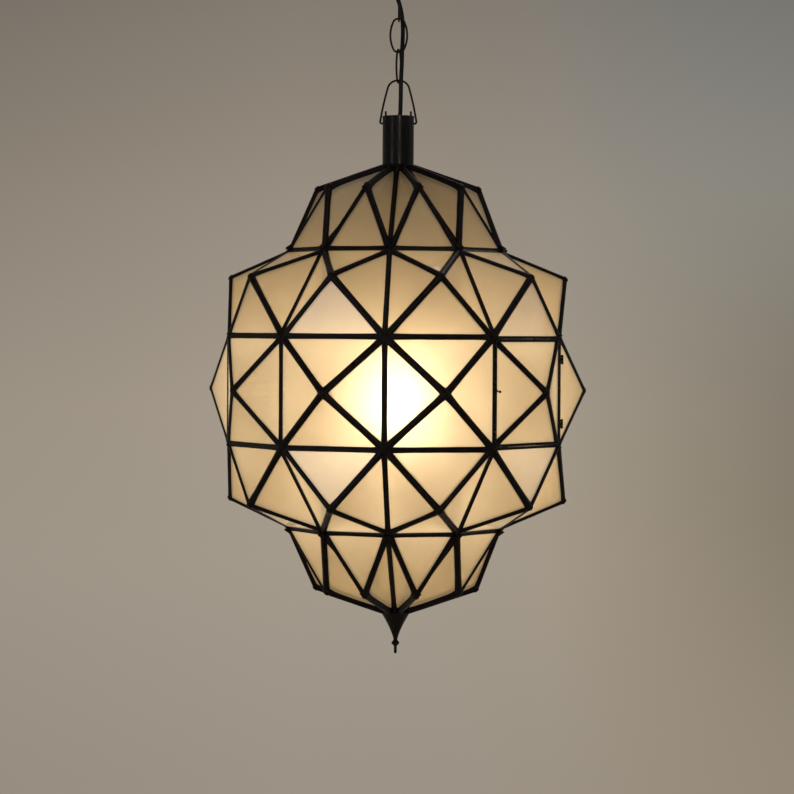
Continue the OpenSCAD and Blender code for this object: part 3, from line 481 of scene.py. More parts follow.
@dataclass(frozen=True)
class HotWire(Surface):
    """Glowing filament on its pale glass mount."""

    name: str = "filament"
    heat: Colour = (1.0, 0.62, 0.25)

    def shader(self, bench: Bench) -> Port:
        """Build the pale mount with its hot wire at the top.

        Args:
            bench: bench for the nodes of the material.

        Returns:
            The port of the surface shader.
        """
        height = bench.part(bench.place(), 2)
        hot = bench.span(height, LAMP_CENTRE.z + 0.004, LAMP_CENTRE.z + 0.014, 1.0, 0.03)
        grain = bench.grain(0.001, 2.0)
        return bench.principled(
            Base_Color=bench.mix(grain, (0.75, 0.72, 0.66), (0.85, 0.83, 0.78)),
            Roughness=0.25,
            Emission_Color=bench.scaled(bench.mix(hot, (0.4, 0.2, 0.1), self.heat), hot),
            Emission_Strength=20.0,
        )


class Finish(Enum):
    """The finishes of the pendant."""

    BLACK_METAL = MetalFinish(
        "black_metal", dark=(0.0022, 0.002, 0.002), light=(0.006, 0.005, 0.0045), metallic=0.05,
        rough=(0.2, 0.36), mark=0.004, stretch=(1.0, 1.0, 0.3), relief=0.00006, specular=0.13,
        worn=(0.03, 0.024, 0.02))
    BLACK_SOLDER = MetalFinish(
        "black_solder", dark=(0.0018, 0.0012, 0.0014), light=(0.0075, 0.0045, 0.004), metallic=0.1,
        rough=(0.26, 0.5), mark=0.0035, relief=0.00018, specular=0.12, worn=(0.03, 0.018, 0.014),
        worn_share=(0.66, 0.82))
    TINNED_METAL = MetalFinish(
        "tinned_metal", dark=(0.006, 0.005, 0.005), light=(0.03, 0.024, 0.024), metallic=0.5,
        rough=(0.22, 0.45), mark=0.003, specular=0.2, worn=(0.24, 0.21, 0.2), worn_share=(0.6, 0.74))
    BRASS = MetalFinish(
        "brass", dark=(0.42, 0.27, 0.09), light=(0.6, 0.42, 0.16), rough=(0.22, 0.4), mark=0.003)
    ZINC_STEEL = MetalFinish(
        "zinc_steel", dark=(0.36, 0.36, 0.35), light=(0.56, 0.56, 0.53), rough=(0.28, 0.5),
        mark=0.005, stretch=(0.3, 1.0, 1.0))
    BULB_METAL = MetalFinish(
        "bulb_metal", dark=(0.5, 0.49, 0.47), light=(0.66, 0.65, 0.62), rough=(0.2, 0.38), mark=0.002)
    OPAL_GLASS = OpalGlass()
    BLACK_PLASTIC = MouldedFinish(
        "black_plastic", colour=(0.018, 0.018, 0.019), shade=(0.012, 0.012, 0.012), rough=(0.35, 0.5))
    CORD_SHEATH = MouldedFinish(
        "cord_sheath", colour=(0.004, 0.004, 0.0045), shade=(0.0025, 0.0025, 0.0025),
        rough=(0.34, 0.5), mark=0.0012, specular=0.14)
    PORCELAIN = MouldedFinish(
        "porcelain", colour=(0.78, 0.75, 0.68), shade=(0.7, 0.67, 0.6), rough=(0.18, 0.3),
        mark=0.004, relief=0.00002, coat=0.7)
    CONTACT_BLACK = MouldedFinish(
        "contact_black", colour=(0.02, 0.02, 0.022), shade=(0.012, 0.012, 0.013), rough=(0.15, 0.3),
        mark=0.001, relief=0.00002, coat=0.5)
    BULB_GLASS = LitBulb()
    FILAMENT = HotWire()


class Paintbox:
    """Makes each finish once and puts it on pieces."""

    def __init__(self) -> None:
        """Start with no material made."""
        self.made: dict[Finish, bpy.types.Material] = {}

    def material(self, finish: Finish) -> bpy.types.Material:
        """Give the material of a finish, made at its first use.

        Args:
            finish: finish that is wanted.

        Returns:
            Its material.
        """
        if finish not in self.made:
            material, bench = new_surface(finish.value.name)
            bench.finish_surface(finish.value.shader(bench))
            self.made[finish] = material
        return self.made[finish]

    def dress_nodes(self, finish: Finish, *names: str) -> None:
        """Put a finish on CAD nodes.

        Args:
            finish: finish to put on.
            names: names of the nodes.
        """
        for name in names:
            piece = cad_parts[name]
            if not piece.material_slots:
                piece.data.materials.append(None)
            for place in piece.material_slots:
                place.material = self.material(finish)
            log.info("node %s: %s", name, finish.value.name)

    def dress(self, piece: bpy.types.Object, finish: Finish) -> bpy.types.Object:
        """Put a finish on a new piece.

        Args:
            piece: piece to dress.
            finish: finish to put on.

        Returns:
            The same piece.
        """
        piece.data.materials.append(self.material(finish))
        log.info("piece %s: %s, %d faces", piece.name, finish.value.name, len(piece.data.polygons))
        return piece


# Mesh tools
@dataclass
class MeshPlan:
    """Points and faces of a piece while it is built."""

    points: list[Vector] = field(default_factory=list)
    faces: list[tuple[int, ...]] = field(default_factory=list)

    def add_rings(self, rings: list[list[Vector]], closed: bool = False) -> None:
        """Join rings of points into a tube.

        Args:
            rings: rings with the same number of points each.
            closed: whether the last ring joins the first, and otherwise both ends are capped.
        """
        first = len(self.points)
        count = len(rings[0])
        for ring in rings:
            self.points.extend(ring)
        last = len(rings) if closed else len(rings) - 1
        for i in range(last):
            low = first + i * count
            high = first + (i + 1) % len(rings) * count
            for n in range(count):
                m = (n + 1) % count
                self.faces.append((low + n, low + m, high + m, high + n))
        if not closed:
            self.faces.append(tuple(first + n for n in reversed(range(count))))
            self.faces.append(tuple(first + (len(rings) - 1) * count + n for n in range(count)))

    def build(self, name: str) -> bpy.types.Object:
        """Make the object.

        Args:
            name: name of the piece.

        Returns:
            The new object, in the scene.
        """
        mesh = bpy.data.meshes.new(name)
        mesh.from_pydata([tuple(p) for p in self.points], [], self.faces)
        mesh.shade_smooth()
        mesh.set_sharp_from_angle(angle=math.radians(SMOOTH_ANGLE))
        piece = bpy.data.objects.new(name, mesh)
        bpy.context.scene.collection.objects.link(piece)
        return piece


def circle(sides: int) -> list[float]:
    """Give the angles of the corners of a circle."""
    return [math.tau * n / sides for n in range(sides)]


def unit(v: Vector) -> Vector:
    """Give the vector at length 1."""
    return v.normalized()


# The glass body and its seams
@dataclass
class GlassBody:
    """Points of the faceted body and the finish of its panes."""

    equator_r: float = 0.203
    waist_r: float = 0.185
    waist_z: float = 0.0573
    shoulder_r: float = 0.182
    shoulder_z: float = 0.1204
    neck_r: float = 0.12
    neck_z: float = 0.1475
    crown_r: float = 0.0878
    crown_z: float = 0.2175
    peak_z: float = 0.2479
    facets: int = 10
    door_bay: int = 1
    body_turn: float = -3.84
    glass_t: float = 0.002

    PANES = (
        "crown_side_panes", "crown_front_panes", "upper_roof_panes", "upper_side_panes", "upper_face_panes",
        "belt_top_panes", "belt_side_panes", "belt_bottom_panes", "lower_face_panes", "lower_side_panes",
        "lower_roof_panes", "base_front_panes", "base_side_panes", "door_panes")

    def at(self, ring: int, k: int) -> Vector:
        """Give a corner point of the body.

        Args:
            ring: ring from 1 under the collar to 9 over the finial, 0 and 10 being on the axis.
            k: place of the point round the ring.

        Returns:
            The point in metres in the shared frame.
        """
        radii = (0.0, self.crown_r, self.neck_r, self.shoulder_r, self.waist_r, self.equator_r)
        heights = (self.peak_z, self.crown_z, self.neck_z, self.shoulder_z, self.waist_z, 0.0)
        level = min(ring, 10 - ring)
        height = heights[level] if ring < 5 else -heights[level]
        turn = math.radians((k + 0.5 * (ring % 2)) * 360.0 / self.facets + self.body_turn)
        return Vector((radii[level] * math.sin(turn), -radii[level] * math.cos(turn), height - HANG_DROP))

    def outward(self, ring: int, k: int) -> Vector:
        """Give the level direction from the axis to a corner point."""
        point = self.at(ring, k)
        return unit(Vector((point.x, point.y, 0.0)))

    def dress(self, paints: Paintbox) -> None:
        """Put the glass finish on all panes."""
        paints.dress_nodes(Finish.OPAL_GLASS, *self.PANES)


@dataclass
class SolderWork:
    """Rounded beads of blackened solder over the seams, with full joints where they meet."""

    body: GlassBody
    ridge_w: float = 0.0073
    valley_w: float = 0.0058
    ring_w: float = 0.0062
    neck_w: float = 0.0072
    jamb_w: float = 0.0026
    rise: float = 0.0009
    joint_r: float = 0.0031
    collar_r: float = 0.017
    finial_r: float = 0.0162
    fillet_r: float = 0.0016
    piece_l: float = 0.007
    flow_l: float = 0.007
    flare: float = 0.34
    end_lift: float = 0.25
    width_wave: float = 0.07
    height_wave: float = 0.16
    joint_wave: float = 0.1
    fillet_wave: float = 0.14
    joint_rows: int = 9
    joint_sides: int = 14
    fillet_steps: int = 60
    fillet_sides: int = 10
    tip_lift: float = 1.2
    shoulder_lift: float = 0.8
    neck_lean: float = 25.0
    waist_lean: float = 4.0
    corner_grow: float = 0.82

    PROFILE = (-1.0, -0.86, -0.6, -0.25, 0.25, 0.6, 0.86, 1.0)

    def bead(
        self, plan: MeshPlan, p: Vector, q: Vector, a: Vector, b: Vector, width: float, seed: float
    ) -> None:
        """Add one bead from p to q over the edges of the panes that reach a and b.

        Args:
            plan: mesh to add to.
            p: start of the seam.
            q: end of the seam.
            a: third point of the pane on one side.
            b: third point of the pane on the other side.
            width: width of the bead.
            seed: sets its unevenness.
        """
        z = unit(q - p)
        middle = (p + q) / 2.0
        normals = []
        for third in (a, b):
            n = unit((q - p).cross(third - p))
            out = middle - BODY_CENTRE
            normals.append(n if n.dot(out) > 0.0 else -n)
        y = unit(normals[0] + normals[1])
        x = y.cross(z)
        side = unit((a - p) - z * (a - p).dot(z))
        fall = side.dot(y) / max(abs(side.dot(x)), 0.05)
        skin = self.body.glass_t / 2.0 * math.sqrt(1.0 + fall * fall)
        length = (q - p).length
        steps = max(4, round(length / self.piece_l))
        rings = []
        for i in range(steps + 1):
            s = i / steps
            centre = p.lerp(q, s)
            near_end = min(s, 1.0 - s) * length
            flow = math.exp(-near_end / self.flow_l)
            wave = noise.noise(Vector((seed * 3.7, s * length * 55.0, 0.0)))
            half = width / 2.0 * (1.0 + self.width_wave * wave + self.flare * flow)
            lump = noise.noise(Vector((seed * 1.9, s * length * 80.0, 5.0)))
            rise = self.rise * (1.0 + self.height_wave * lump + self.end_lift * flow)
            rings.append(self._profile(centre, x, y, half, fall, skin, rise))
        plan.add_rings(rings)

    def _profile(
        self, centre: Vector, x: Vector, y: Vector, half: float, fall: float, skin: float, rise: float
    ) -> list[Vector]:
        """Give the outline of a bead across its length.

        Args:
            centre: point on the line of the seam.
            x: direction across the bead.
            y: direction out of the glass.
            half: half of its width.
            fall: slope of the panes away from the seam.
            skin: distance from the middle of the glass to its face.
            rise: height of the bead over the glass.

        Returns:
            The points of the outline in order.
        """
        points = []
        for turn, row in ((-1.0, self.PROFILE), (1.0, tuple(reversed(self.PROFILE)))):
            for u in row:
                soft = (math.sqrt(u * u + 0.04) - 0.2) / (math.sqrt(1.04) - 0.2)
                dome = (1.0 - min(u * u, 1.0)) ** 0.6
                height = fall * soft * half + turn * (skin * 0.9 + rise * dome)
                points.append(centre + x * (u * half) + y * height)
        return points

    def joint(self, plan: MeshPlan, point: Vector, out: Vector, seed: float, grow: float = 1.0) -> None:
        """Add the rounded lump of solder where seams meet.

        Args:
            plan: mesh to add to.
            point: corner point of the body.
            out: direction out of the body there.
            seed: sets its unevenness.
            grow: factor on its size.
        """
        z = unit(out)
        x = unit(Vector((0.0, 0.0, 1.0)).cross(z)) if abs(z.z) < 0.99 else Vector((1.0, 0.0, 0.0))
        y = z.cross(x)
        high = (self.body.glass_t / 2.0 + self.rise * 1.1) * grow
        rings = []
        for i in range(self.joint_rows):
            angle = math.pi * (i + 0.5) / self.joint_rows
            ring = []
            for turn in circle(self.joint_sides):
                spot = Vector((math.cos(turn) * 1.4 + seed * 2.3, math.sin(turn) * 1.4, i * 0.2))
                wave = 1.0 + self.joint_wave * noise.noise(spot)
                r = self.joint_r * 1.15 * grow * math.sin(angle) ** 0.8 * wave
                level = point + x * (r * math.cos(turn)) + y * (r * math.sin(turn))
                ring.append(level - z * (high * math.cos(angle)))
            rings.append(ring)
        plan.add_rings(rings)

    def collar_fillet(self, plan: MeshPlan, r: float, z: float, slope: float) -> None:
        """Add the ring of solder where the slopes meet the collar or the finial.

        Args:
            plan: mesh to add to.
            r: radius of the collar or finial.
            z: height of the ring.
            slope: rise of the glass per length outward.
        """
        rings = []
        for turn in circle(self.fillet_steps):
            out = Vector((math.sin(turn), -math.cos(turn), 0.0))
            spot = Vector((math.cos(turn) * 3.0, math.sin(turn) * 3.0, z * 40.0))
            wave = 1.0 + self.fillet_wave * noise.noise(spot)
            ring = []
            for tilt in circle(self.fillet_sides):
                reach = self.fillet_r * wave * (1.0 + 0.35 * math.cos(tilt))
                outward = reach * math.cos(tilt)
                height = z + slope * max(0.0, outward) + reach * 0.9 * math.sin(tilt)
                ring.append(out * (r + outward) + Vector((0.0, 0.0, height)))
            rings.append(ring)
        plan.add_rings(rings, closed=True)

    def _root(self, apex: Vector, to: Vector, r: float) -> Vector:
        """Give the point of a crown seam at a radius from the axis."""
        reach = math.hypot(to.x, to.y)
        return apex.lerp(to, r / reach)

    def point_tier(self, name: str, apex: int, tip: int, foot: int, root_r: float) -> bpy.types.Object:
        """Build the beads of the crown or the base.

        Args:
            name: name of the piece.
            apex: ring on the axis.
            tip: ring of the raised points.
            foot: ring at the foot of the slopes.
            root_r: radius at which the seams begin.

        Returns:
            The new piece.
        """
        plan = MeshPlan()
        at = self.body.at
        top = at(apex, 0)
        for k in range(self.body.facets):
            seed = k * 7.0 + apex
            ridge = self._root(top, at(tip, k), root_r)
            valley = self._root(top, at(foot, k), root_r)
            self.bead(plan, ridge, at(tip, k), at(foot, k), at(foot, k + 1), self.ridge_w, seed + 1)
            self.bead(plan, valley, at(foot, k), at(tip, k), at(tip, k - 1), self.valley_w, seed + 2)
            self.bead(plan, at(tip, k), at(foot, k), top, at(foot, k + 1), self.ridge_w, seed + 3)
            self.bead(plan, at(tip, k), at(foot, k + 1), top, at(foot, k), self.ridge_w, seed + 4)
            sign = 1.0 if apex == 0 else -1.0
            out = self.body.outward(tip, k) + Vector((0.0, 0.0, sign * self.tip_lift))
            self.joint(plan, at(tip, k), out, seed + 5)
        self.ring(plan, foot, self.neck_lean if apex == 0 else -self.neck_lean)
        slope = (at(tip, 0).z - top.z) / self.body.crown_r
        self.collar_fillet(plan, root_r, top.z + slope * root_r, slope)
        return plan.build(name)

    def ring(self, plan: MeshPlan, ring: int, lean: float) -> None:
        """Add the beads and joints round one ring.

        Args:
            plan: mesh to add to.
            ring: ring of the body.
            lean: tilt of its joints in degrees above level.
        """
        at = self.body.at
        for k in range(self.body.facets):
            thin = k == self.body.door_bay and ring in (4, 6)
            width = self.jamb_w if thin else self.neck_w if ring in (2, 8) else self.ring_w
            seed = ring * 13.0 + k
            self.bead(plan, at(ring, k), at(ring, k + 1), at(ring - 1, k), at(ring + 1, k), width, seed)
            tilt = math.radians(lean)
            out = self.body.outward(ring, k) * math.cos(tilt) + Vector((0.0, 0.0, math.sin(tilt)))
            corner = ring in (4, 6) and k in (self.body.door_bay, self.body.door_bay + 1)
            self.joint(plan, at(ring, k), out, ring * 3.0 + k * 1.7, self.corner_grow if corner else 1.0)

    def star(self, plan: MeshPlan, k: int, one: int, tip: int, other: int, seed: float) -> None:
        """Add the four ridges that meet at a raised point.

        Args:
            plan: mesh to add to.
            k: place of the point round its ring.
            one: ring on the first side of the point.
            tip: ring of the point.
            other: ring on its other side.
            seed: sets the unevenness of its ridges.
        """
        at = self.body.at
        for near, far, first in ((one, other, seed), (other, one, seed + 2)):
            for s in (0, 1):
                start, beside = at(near, k + s), at(near, k + 1 - s)
                self.bead(plan, start, at(tip, k), beside, at(far, k + s), self.ridge_w, first + s)

    def shoulder_tier(self, name: str, far: int, tip: int, near: int) -> bpy.types.Object:
        """Build the beads of the upper or lower shoulder.

        Args:
            name: name of the piece.
            far: ring away from the equator.
            tip: ring of the raised points.
            near: ring toward the equator.

        Returns:
            The new piece.
        """
        plan = MeshPlan()
        at = self.body.at
        for k in range(self.body.facets):
            seed = k * 9.0 + tip * 2.0
            self.star(plan, k, far, tip, near, seed + 1)
            self.bead(plan, at(far, k), at(near, k), at(tip, k), at(tip, k - 1), self.valley_w, seed + 5)
            sign = 1.0 if tip < 5 else -1.0
            out = self.body.outward(tip, k) + Vector((0.0, 0.0, sign * self.shoulder_lift))
            self.joint(plan, at(tip, k), out, seed + 6)
        self.ring(plan, near, self.waist_lean if tip < 5 else -self.waist_lean)
        return plan.build(name)

    def belt_tier(self, name: str) -> bpy.types.Object:
        """Build the beads round the belt, with thin ones beside the door.

        Args:
            name: name of the piece.

        Returns:
            The new piece.
        """
        plan = MeshPlan()
        at = self.body.at
        door = self.body.door_bay
        for k in range(self.body.facets):
            seed = k * 11.0 + 100.0
            if k != door:
                self.star(plan, k, 4, 5, 6, seed)
                self.joint(plan, at(5, k), self.body.outward(5, k), seed + 4)
            width = self.jamb_w if k in (door, door + 1) else self.valley_w
            self.bead(plan, at(4, k), at(6, k), at(5, k), at(5, k - 1), width, seed + 5)
        return plan.build(name)

    def build(self, paints: Paintbox) -> None:
        """Build all five tiers, dress them and hang them on the lantern.

        Args:
            paints: finishes to dress them in.
        """
        tiers = {
            "crown_frame": self.point_tier("crown_solder", 0, 1, 2, self.collar_r),
            "upper_frame": self.shoulder_tier("upper_solder", 2, 3, 4),
            "belt_frame": self.belt_tier("belt_solder"),
            "lower_frame": self.shoulder_tier("lower_solder", 8, 7, 6),
            "base_frame": self.point_tier("base_solder", 10, 9, 8, self.finial_r),
        }
        for node, piece in tiers.items():
            paints.dress(piece, Finish.BLACK_SOLDER)
            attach(piece, "lantern")
            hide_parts(node)


@dataclass
class Door:
    """The glass door in its bay, with its strip, solder, hinges and latch."""

    solder: SolderWork
    jamb_w: float = 0.0028
    gap: float = 0.0003
    rim_w: float = 0.0012
    rim_corner: float = 0.004
    seat_in: float = 0.0004
    seam_w: float = 0.003
    seam_h: float = 0.0019
    corner_ease: float = 0.0012
    corner_steps: int = 6
    seam_sides: int = 12

    def __post_init__(self) -> None:
        """Work out where the door sits."""
        body = self.solder.body
        half_step = math.pi / body.facets
        self.turn = math.radians((body.door_bay + 0.5) * 360.0 / body.facets + body.body_turn + 180.0)
        self.opening_y = body.waist_r * math.cos(half_step)
        self.rim_hx = body.waist_r * math.sin(half_step) - self.jamb_w / 2.0 - self.gap
        self.rim_hz = body.waist_z - self.jamb_w / 2.0 - self.gap

    def spot(self, x: float, y: float, z: float) -> Vector:
        """Give a point of the door in the shared frame.

        Args:
            x: distance toward the latch from the middle of the bay.
            y: distance out from the axis.
            z: height over the equator.

        Returns:
            The point in the shared frame.
        """
        return Matrix.Rotation(self.turn, 3, "Z") @ Vector((x, y, z)) + BODY_CENTRE

    def edge_bead(self, plan: MeshPlan) -> None:
        """Add the solder that runs round inside the strip.

        Args:
            plan: mesh to add to.
        """
        half = self.seam_w / 2.0
        hx = self.rim_hx - self.rim_w - half
        hz = self.rim_hz - self.rim_w - half
        corner = self.rim_corner - self.rim_w - half + self.corner_ease
        rings = []
        for sx, sz, start in ((1, 1, 0), (-1, 1, 1), (-1, -1, 2), (1, -1, 3)):
            for i in range(self.corner_steps + 1):
                turn = math.radians(90.0 * start + 90.0 / self.corner_steps * i)
                across = Vector((math.cos(turn), 0.0, math.sin(turn)))
                centre = Vector((sx * (hx - corner), 0.0, sz * (hz - corner))) + across * corner
                wave = noise.noise(Vector((centre.x * 60.0, centre.z * 60.0, 3.0)))
                wide = half * (1.06 + 0.06 * wave)
                high = self.seam_h + 0.0002 * wave
                ring = []
                for tilt in circle(self.seam_sides):
                    place = centre + across * (wide * math.cos(tilt))
                    ring.append(self.spot(place.x, self.opening_y + high * math.sin(tilt), place.z))
                rings.append(ring)
        plan.add_rings(rings, closed=True)

    def build(self, paints: Paintbox) -> None:
        """Build the door's solder, dress the door and hang it on its hinges.

        Args:
            paints: finishes to dress them in.
        """
        body = self.solder.body
        plan = MeshPlan()
        hx = self.rim_hx - self.rim_w - self.seat_in
        hz = self.rim_hz - self.rim_w - self.seat_in
        signs = ((-1, -1), (1, -1), (1, 1), (-1, 1))
        corners = [self.spot(sx * hx, self.opening_y, sz * hz) for sx, sz in signs]
        apex = self.spot(0.0, body.equator_r, 0.0)
        for i in range(4):
            start = corners[i].lerp(apex, 0.02)
            after, before = corners[(i + 1) % 4], corners[(i + 3) % 4]
            self.solder.bead(plan, start, apex, after, before, self.solder.ridge_w, 300.0 + i)
        self.solder.joint(plan, apex, Vector((apex.x, apex.y, 0.0)), 310.0)
        self.edge_bead(plan)
        piece = paints.dress(plan.build("door_solder"), Finish.BLACK_SOLDER)
        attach(piece, "door")
        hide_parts("door_frame")
        paints.dress_nodes(Finish.TINNED_METAL, "door_rim", "hinge_pins", "latch_post")
        paints.dress_nodes(Finish.BLACK_SOLDER, "door_hinge_leaves", "frame_hinge_leaves", "latch")


@dataclass
class Suspension:
    """Ceiling fitting, chain, bail, collar and finial."""

    def build(self, paints: Paintbox) -> None:
        """Dress the metal of the suspension.

        Args:
            paints: finishes to dress them in.
        """
        paints.dress_nodes(
            Finish.BLACK_METAL, "canopy", "hanging_ring", "chain_link_1", "chain_link_2", "chain_link_3",
            "chain_link_4", "bail", "collar", "finial")
        paints.dress_nodes(Finish.ZINC_STEEL, "crossbar", "collar_strap")
        paints.dress_nodes(Finish.BRASS, "ceiling_tube", "ceiling_nut", "stem", "stem_nuts")
        paints.dress_nodes(Finish.PORCELAIN, "terminal_block")
        paints.dress_nodes(Finish.CORD_SHEATH, "ceiling_leads")


@dataclass
class LampFitting:
    """Lampholder, bulb and the lead inside."""

    def build(self, paints: Paintbox) -> None:
        """Dress the lampholder and the bulb.

        Args:
            paints: finishes to dress them in.
        """
        paints.dress_nodes(Finish.BLACK_PLASTIC, "cord_grip", "holder_cover", "holder_body")
        paints.dress_nodes(Finish.CORD_SHEATH, "inner_lead")
        paints.dress_nodes(Finish.PORCELAIN, "holder_core")
        paints.dress_nodes(Finish.BRASS, "screw_shell", "holder_contact")
        paints.dress_nodes(Finish.BULB_GLASS, "bulb_glass")
        paints.dress_nodes(Finish.BULB_METAL, "bulb_cap")
        paints.dress_nodes(Finish.CONTACT_BLACK, "bulb_contact")
        paints.dress_nodes(Finish.FILAMENT, "bulb_filament")


@dataclass
class Cord:
    """The cord that winds down through the chain, in one run for each body it hangs from."""

    diameter: float = 0.0046
    route: tuple[Colour, ...] = (
        (0, 0, 488), (-0.8, -1.2, 479.5), (-3.2, -3.4, 471), (-4.7, -4, 462),
        (-4.4, -1.2, 451), (-3.9, 2.2, 442.5), (-3.9, 4.2, 434), (-2.1, 4, 425.5),
        (0.6, 3.4, 417), (2.6, 3.2, 408.5), (3.9, 3.6, 400), (4.4, 2.4, 391.5),
        (4.4, -0.4, 383), (4.1, -2.9, 374.5), (3.7, -4.1, 366), (3.6, -4.2, 358),
        (3.4, -4.2, 350), (3, -4.2, 341.5), (2.7, -4.1, 333), (2.6, -3.9, 324),
        (2.5, -3.4, 315), (2.3, -2.5, 307), (2.1, -1.4, 299.5), (1, -0.4, 292),
        (0, 0, 284.4))
    bodies: tuple[str, ...] = ("ceiling_fitting", "link_4", "link_3", "link_2", "link_1", "bail", "lantern")
    per_run: int = 4
    steady_run: int = 5
    cuts: int = 6
    sides: int = 14
    end_slope: float = -0.0085

    def point(self, i: int) -> Vector:
        """Give a point of the route in metres in the shared frame."""
        x, y, z = self.route[i]
        return Vector((x * MM, y * MM, z * MM - HANG_DROP))

    def slope(self, i: int) -> Vector:
        """Give the direction of the route at a point, scaled to one interval.

        Args:
            i: place of the point on the route.

        Returns:
            The direction.
        """
        if i in (0, len(self.route) - 1):
            return Vector((0.0, 0.0, self.end_slope))
        return (self.point(i + 1) - self.point(i - 1)) / 2.0

    def line(self, first: int, last: int) -> list[Vector]:
        """Give points on the smooth line between two points of the route.

        Args:
            first: place of the first point.
            last: place of the last point.

        Returns:
            The points in order.
        """
        found = []
        for i in range(first, last):
            p, q, u, v = self.point(i), self.point(i + 1), self.slope(i), self.slope(i + 1)
            for n in range(self.cuts):
                t = n / self.cuts
                found.append(
                    p * (2 * t**3 - 3 * t**2 + 1) + u * (t**3 - 2 * t**2 + t)
                    + q * (3 * t**2 - 2 * t**3) + v * (t**3 - t**2))
        return [*found, self.point(last)]

    def build(self, paints: Paintbox) -> None:
        """Build the runs of the cord, each laid along the route between its two bodies.

        The last run ends at the line about which the lantern swings, so it rides on the bail alone.

        Args:
            paints: finishes to dress them in.
        """
        for run in range(len(self.bodies) - 1):
            line = self.line(run * self.per_run, (run + 1) * self.per_run)
            plan = MeshPlan()
            rings = []
            for i, centre in enumerate(line):
                ahead = unit(line[min(i + 1, len(line) - 1)] - line[max(i - 1, 0)])
                if i in (0, len(line) - 1):
                    ahead = unit(self.slope(run * self.per_run + (0 if i == 0 else self.per_run)))
                x = unit(ahead.cross(Vector((0.0, 1.0, 0.0))))
                y = ahead.cross(x)
                r = self.diameter / 2.0
                rings.append([
                    centre + x * (r * math.cos(t)) + y * (r * math.sin(t)) for t in circle(self.sides)])
            plan.add_rings(rings)
            node = f"cord_{run + 1}"
            piece = paints.dress(plan.build(f"cord_run_{run + 1}"), Finish.CORD_SHEATH)
            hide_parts(node)
            length = sum((b - a).length for a, b in zip(line, line[1:]))
            if run == self.steady_run:
                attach(piece, self.bodies[run])
            else:
                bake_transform(piece)
            log.info("%s is %.1f mm long", piece.name, length * 1000.0)


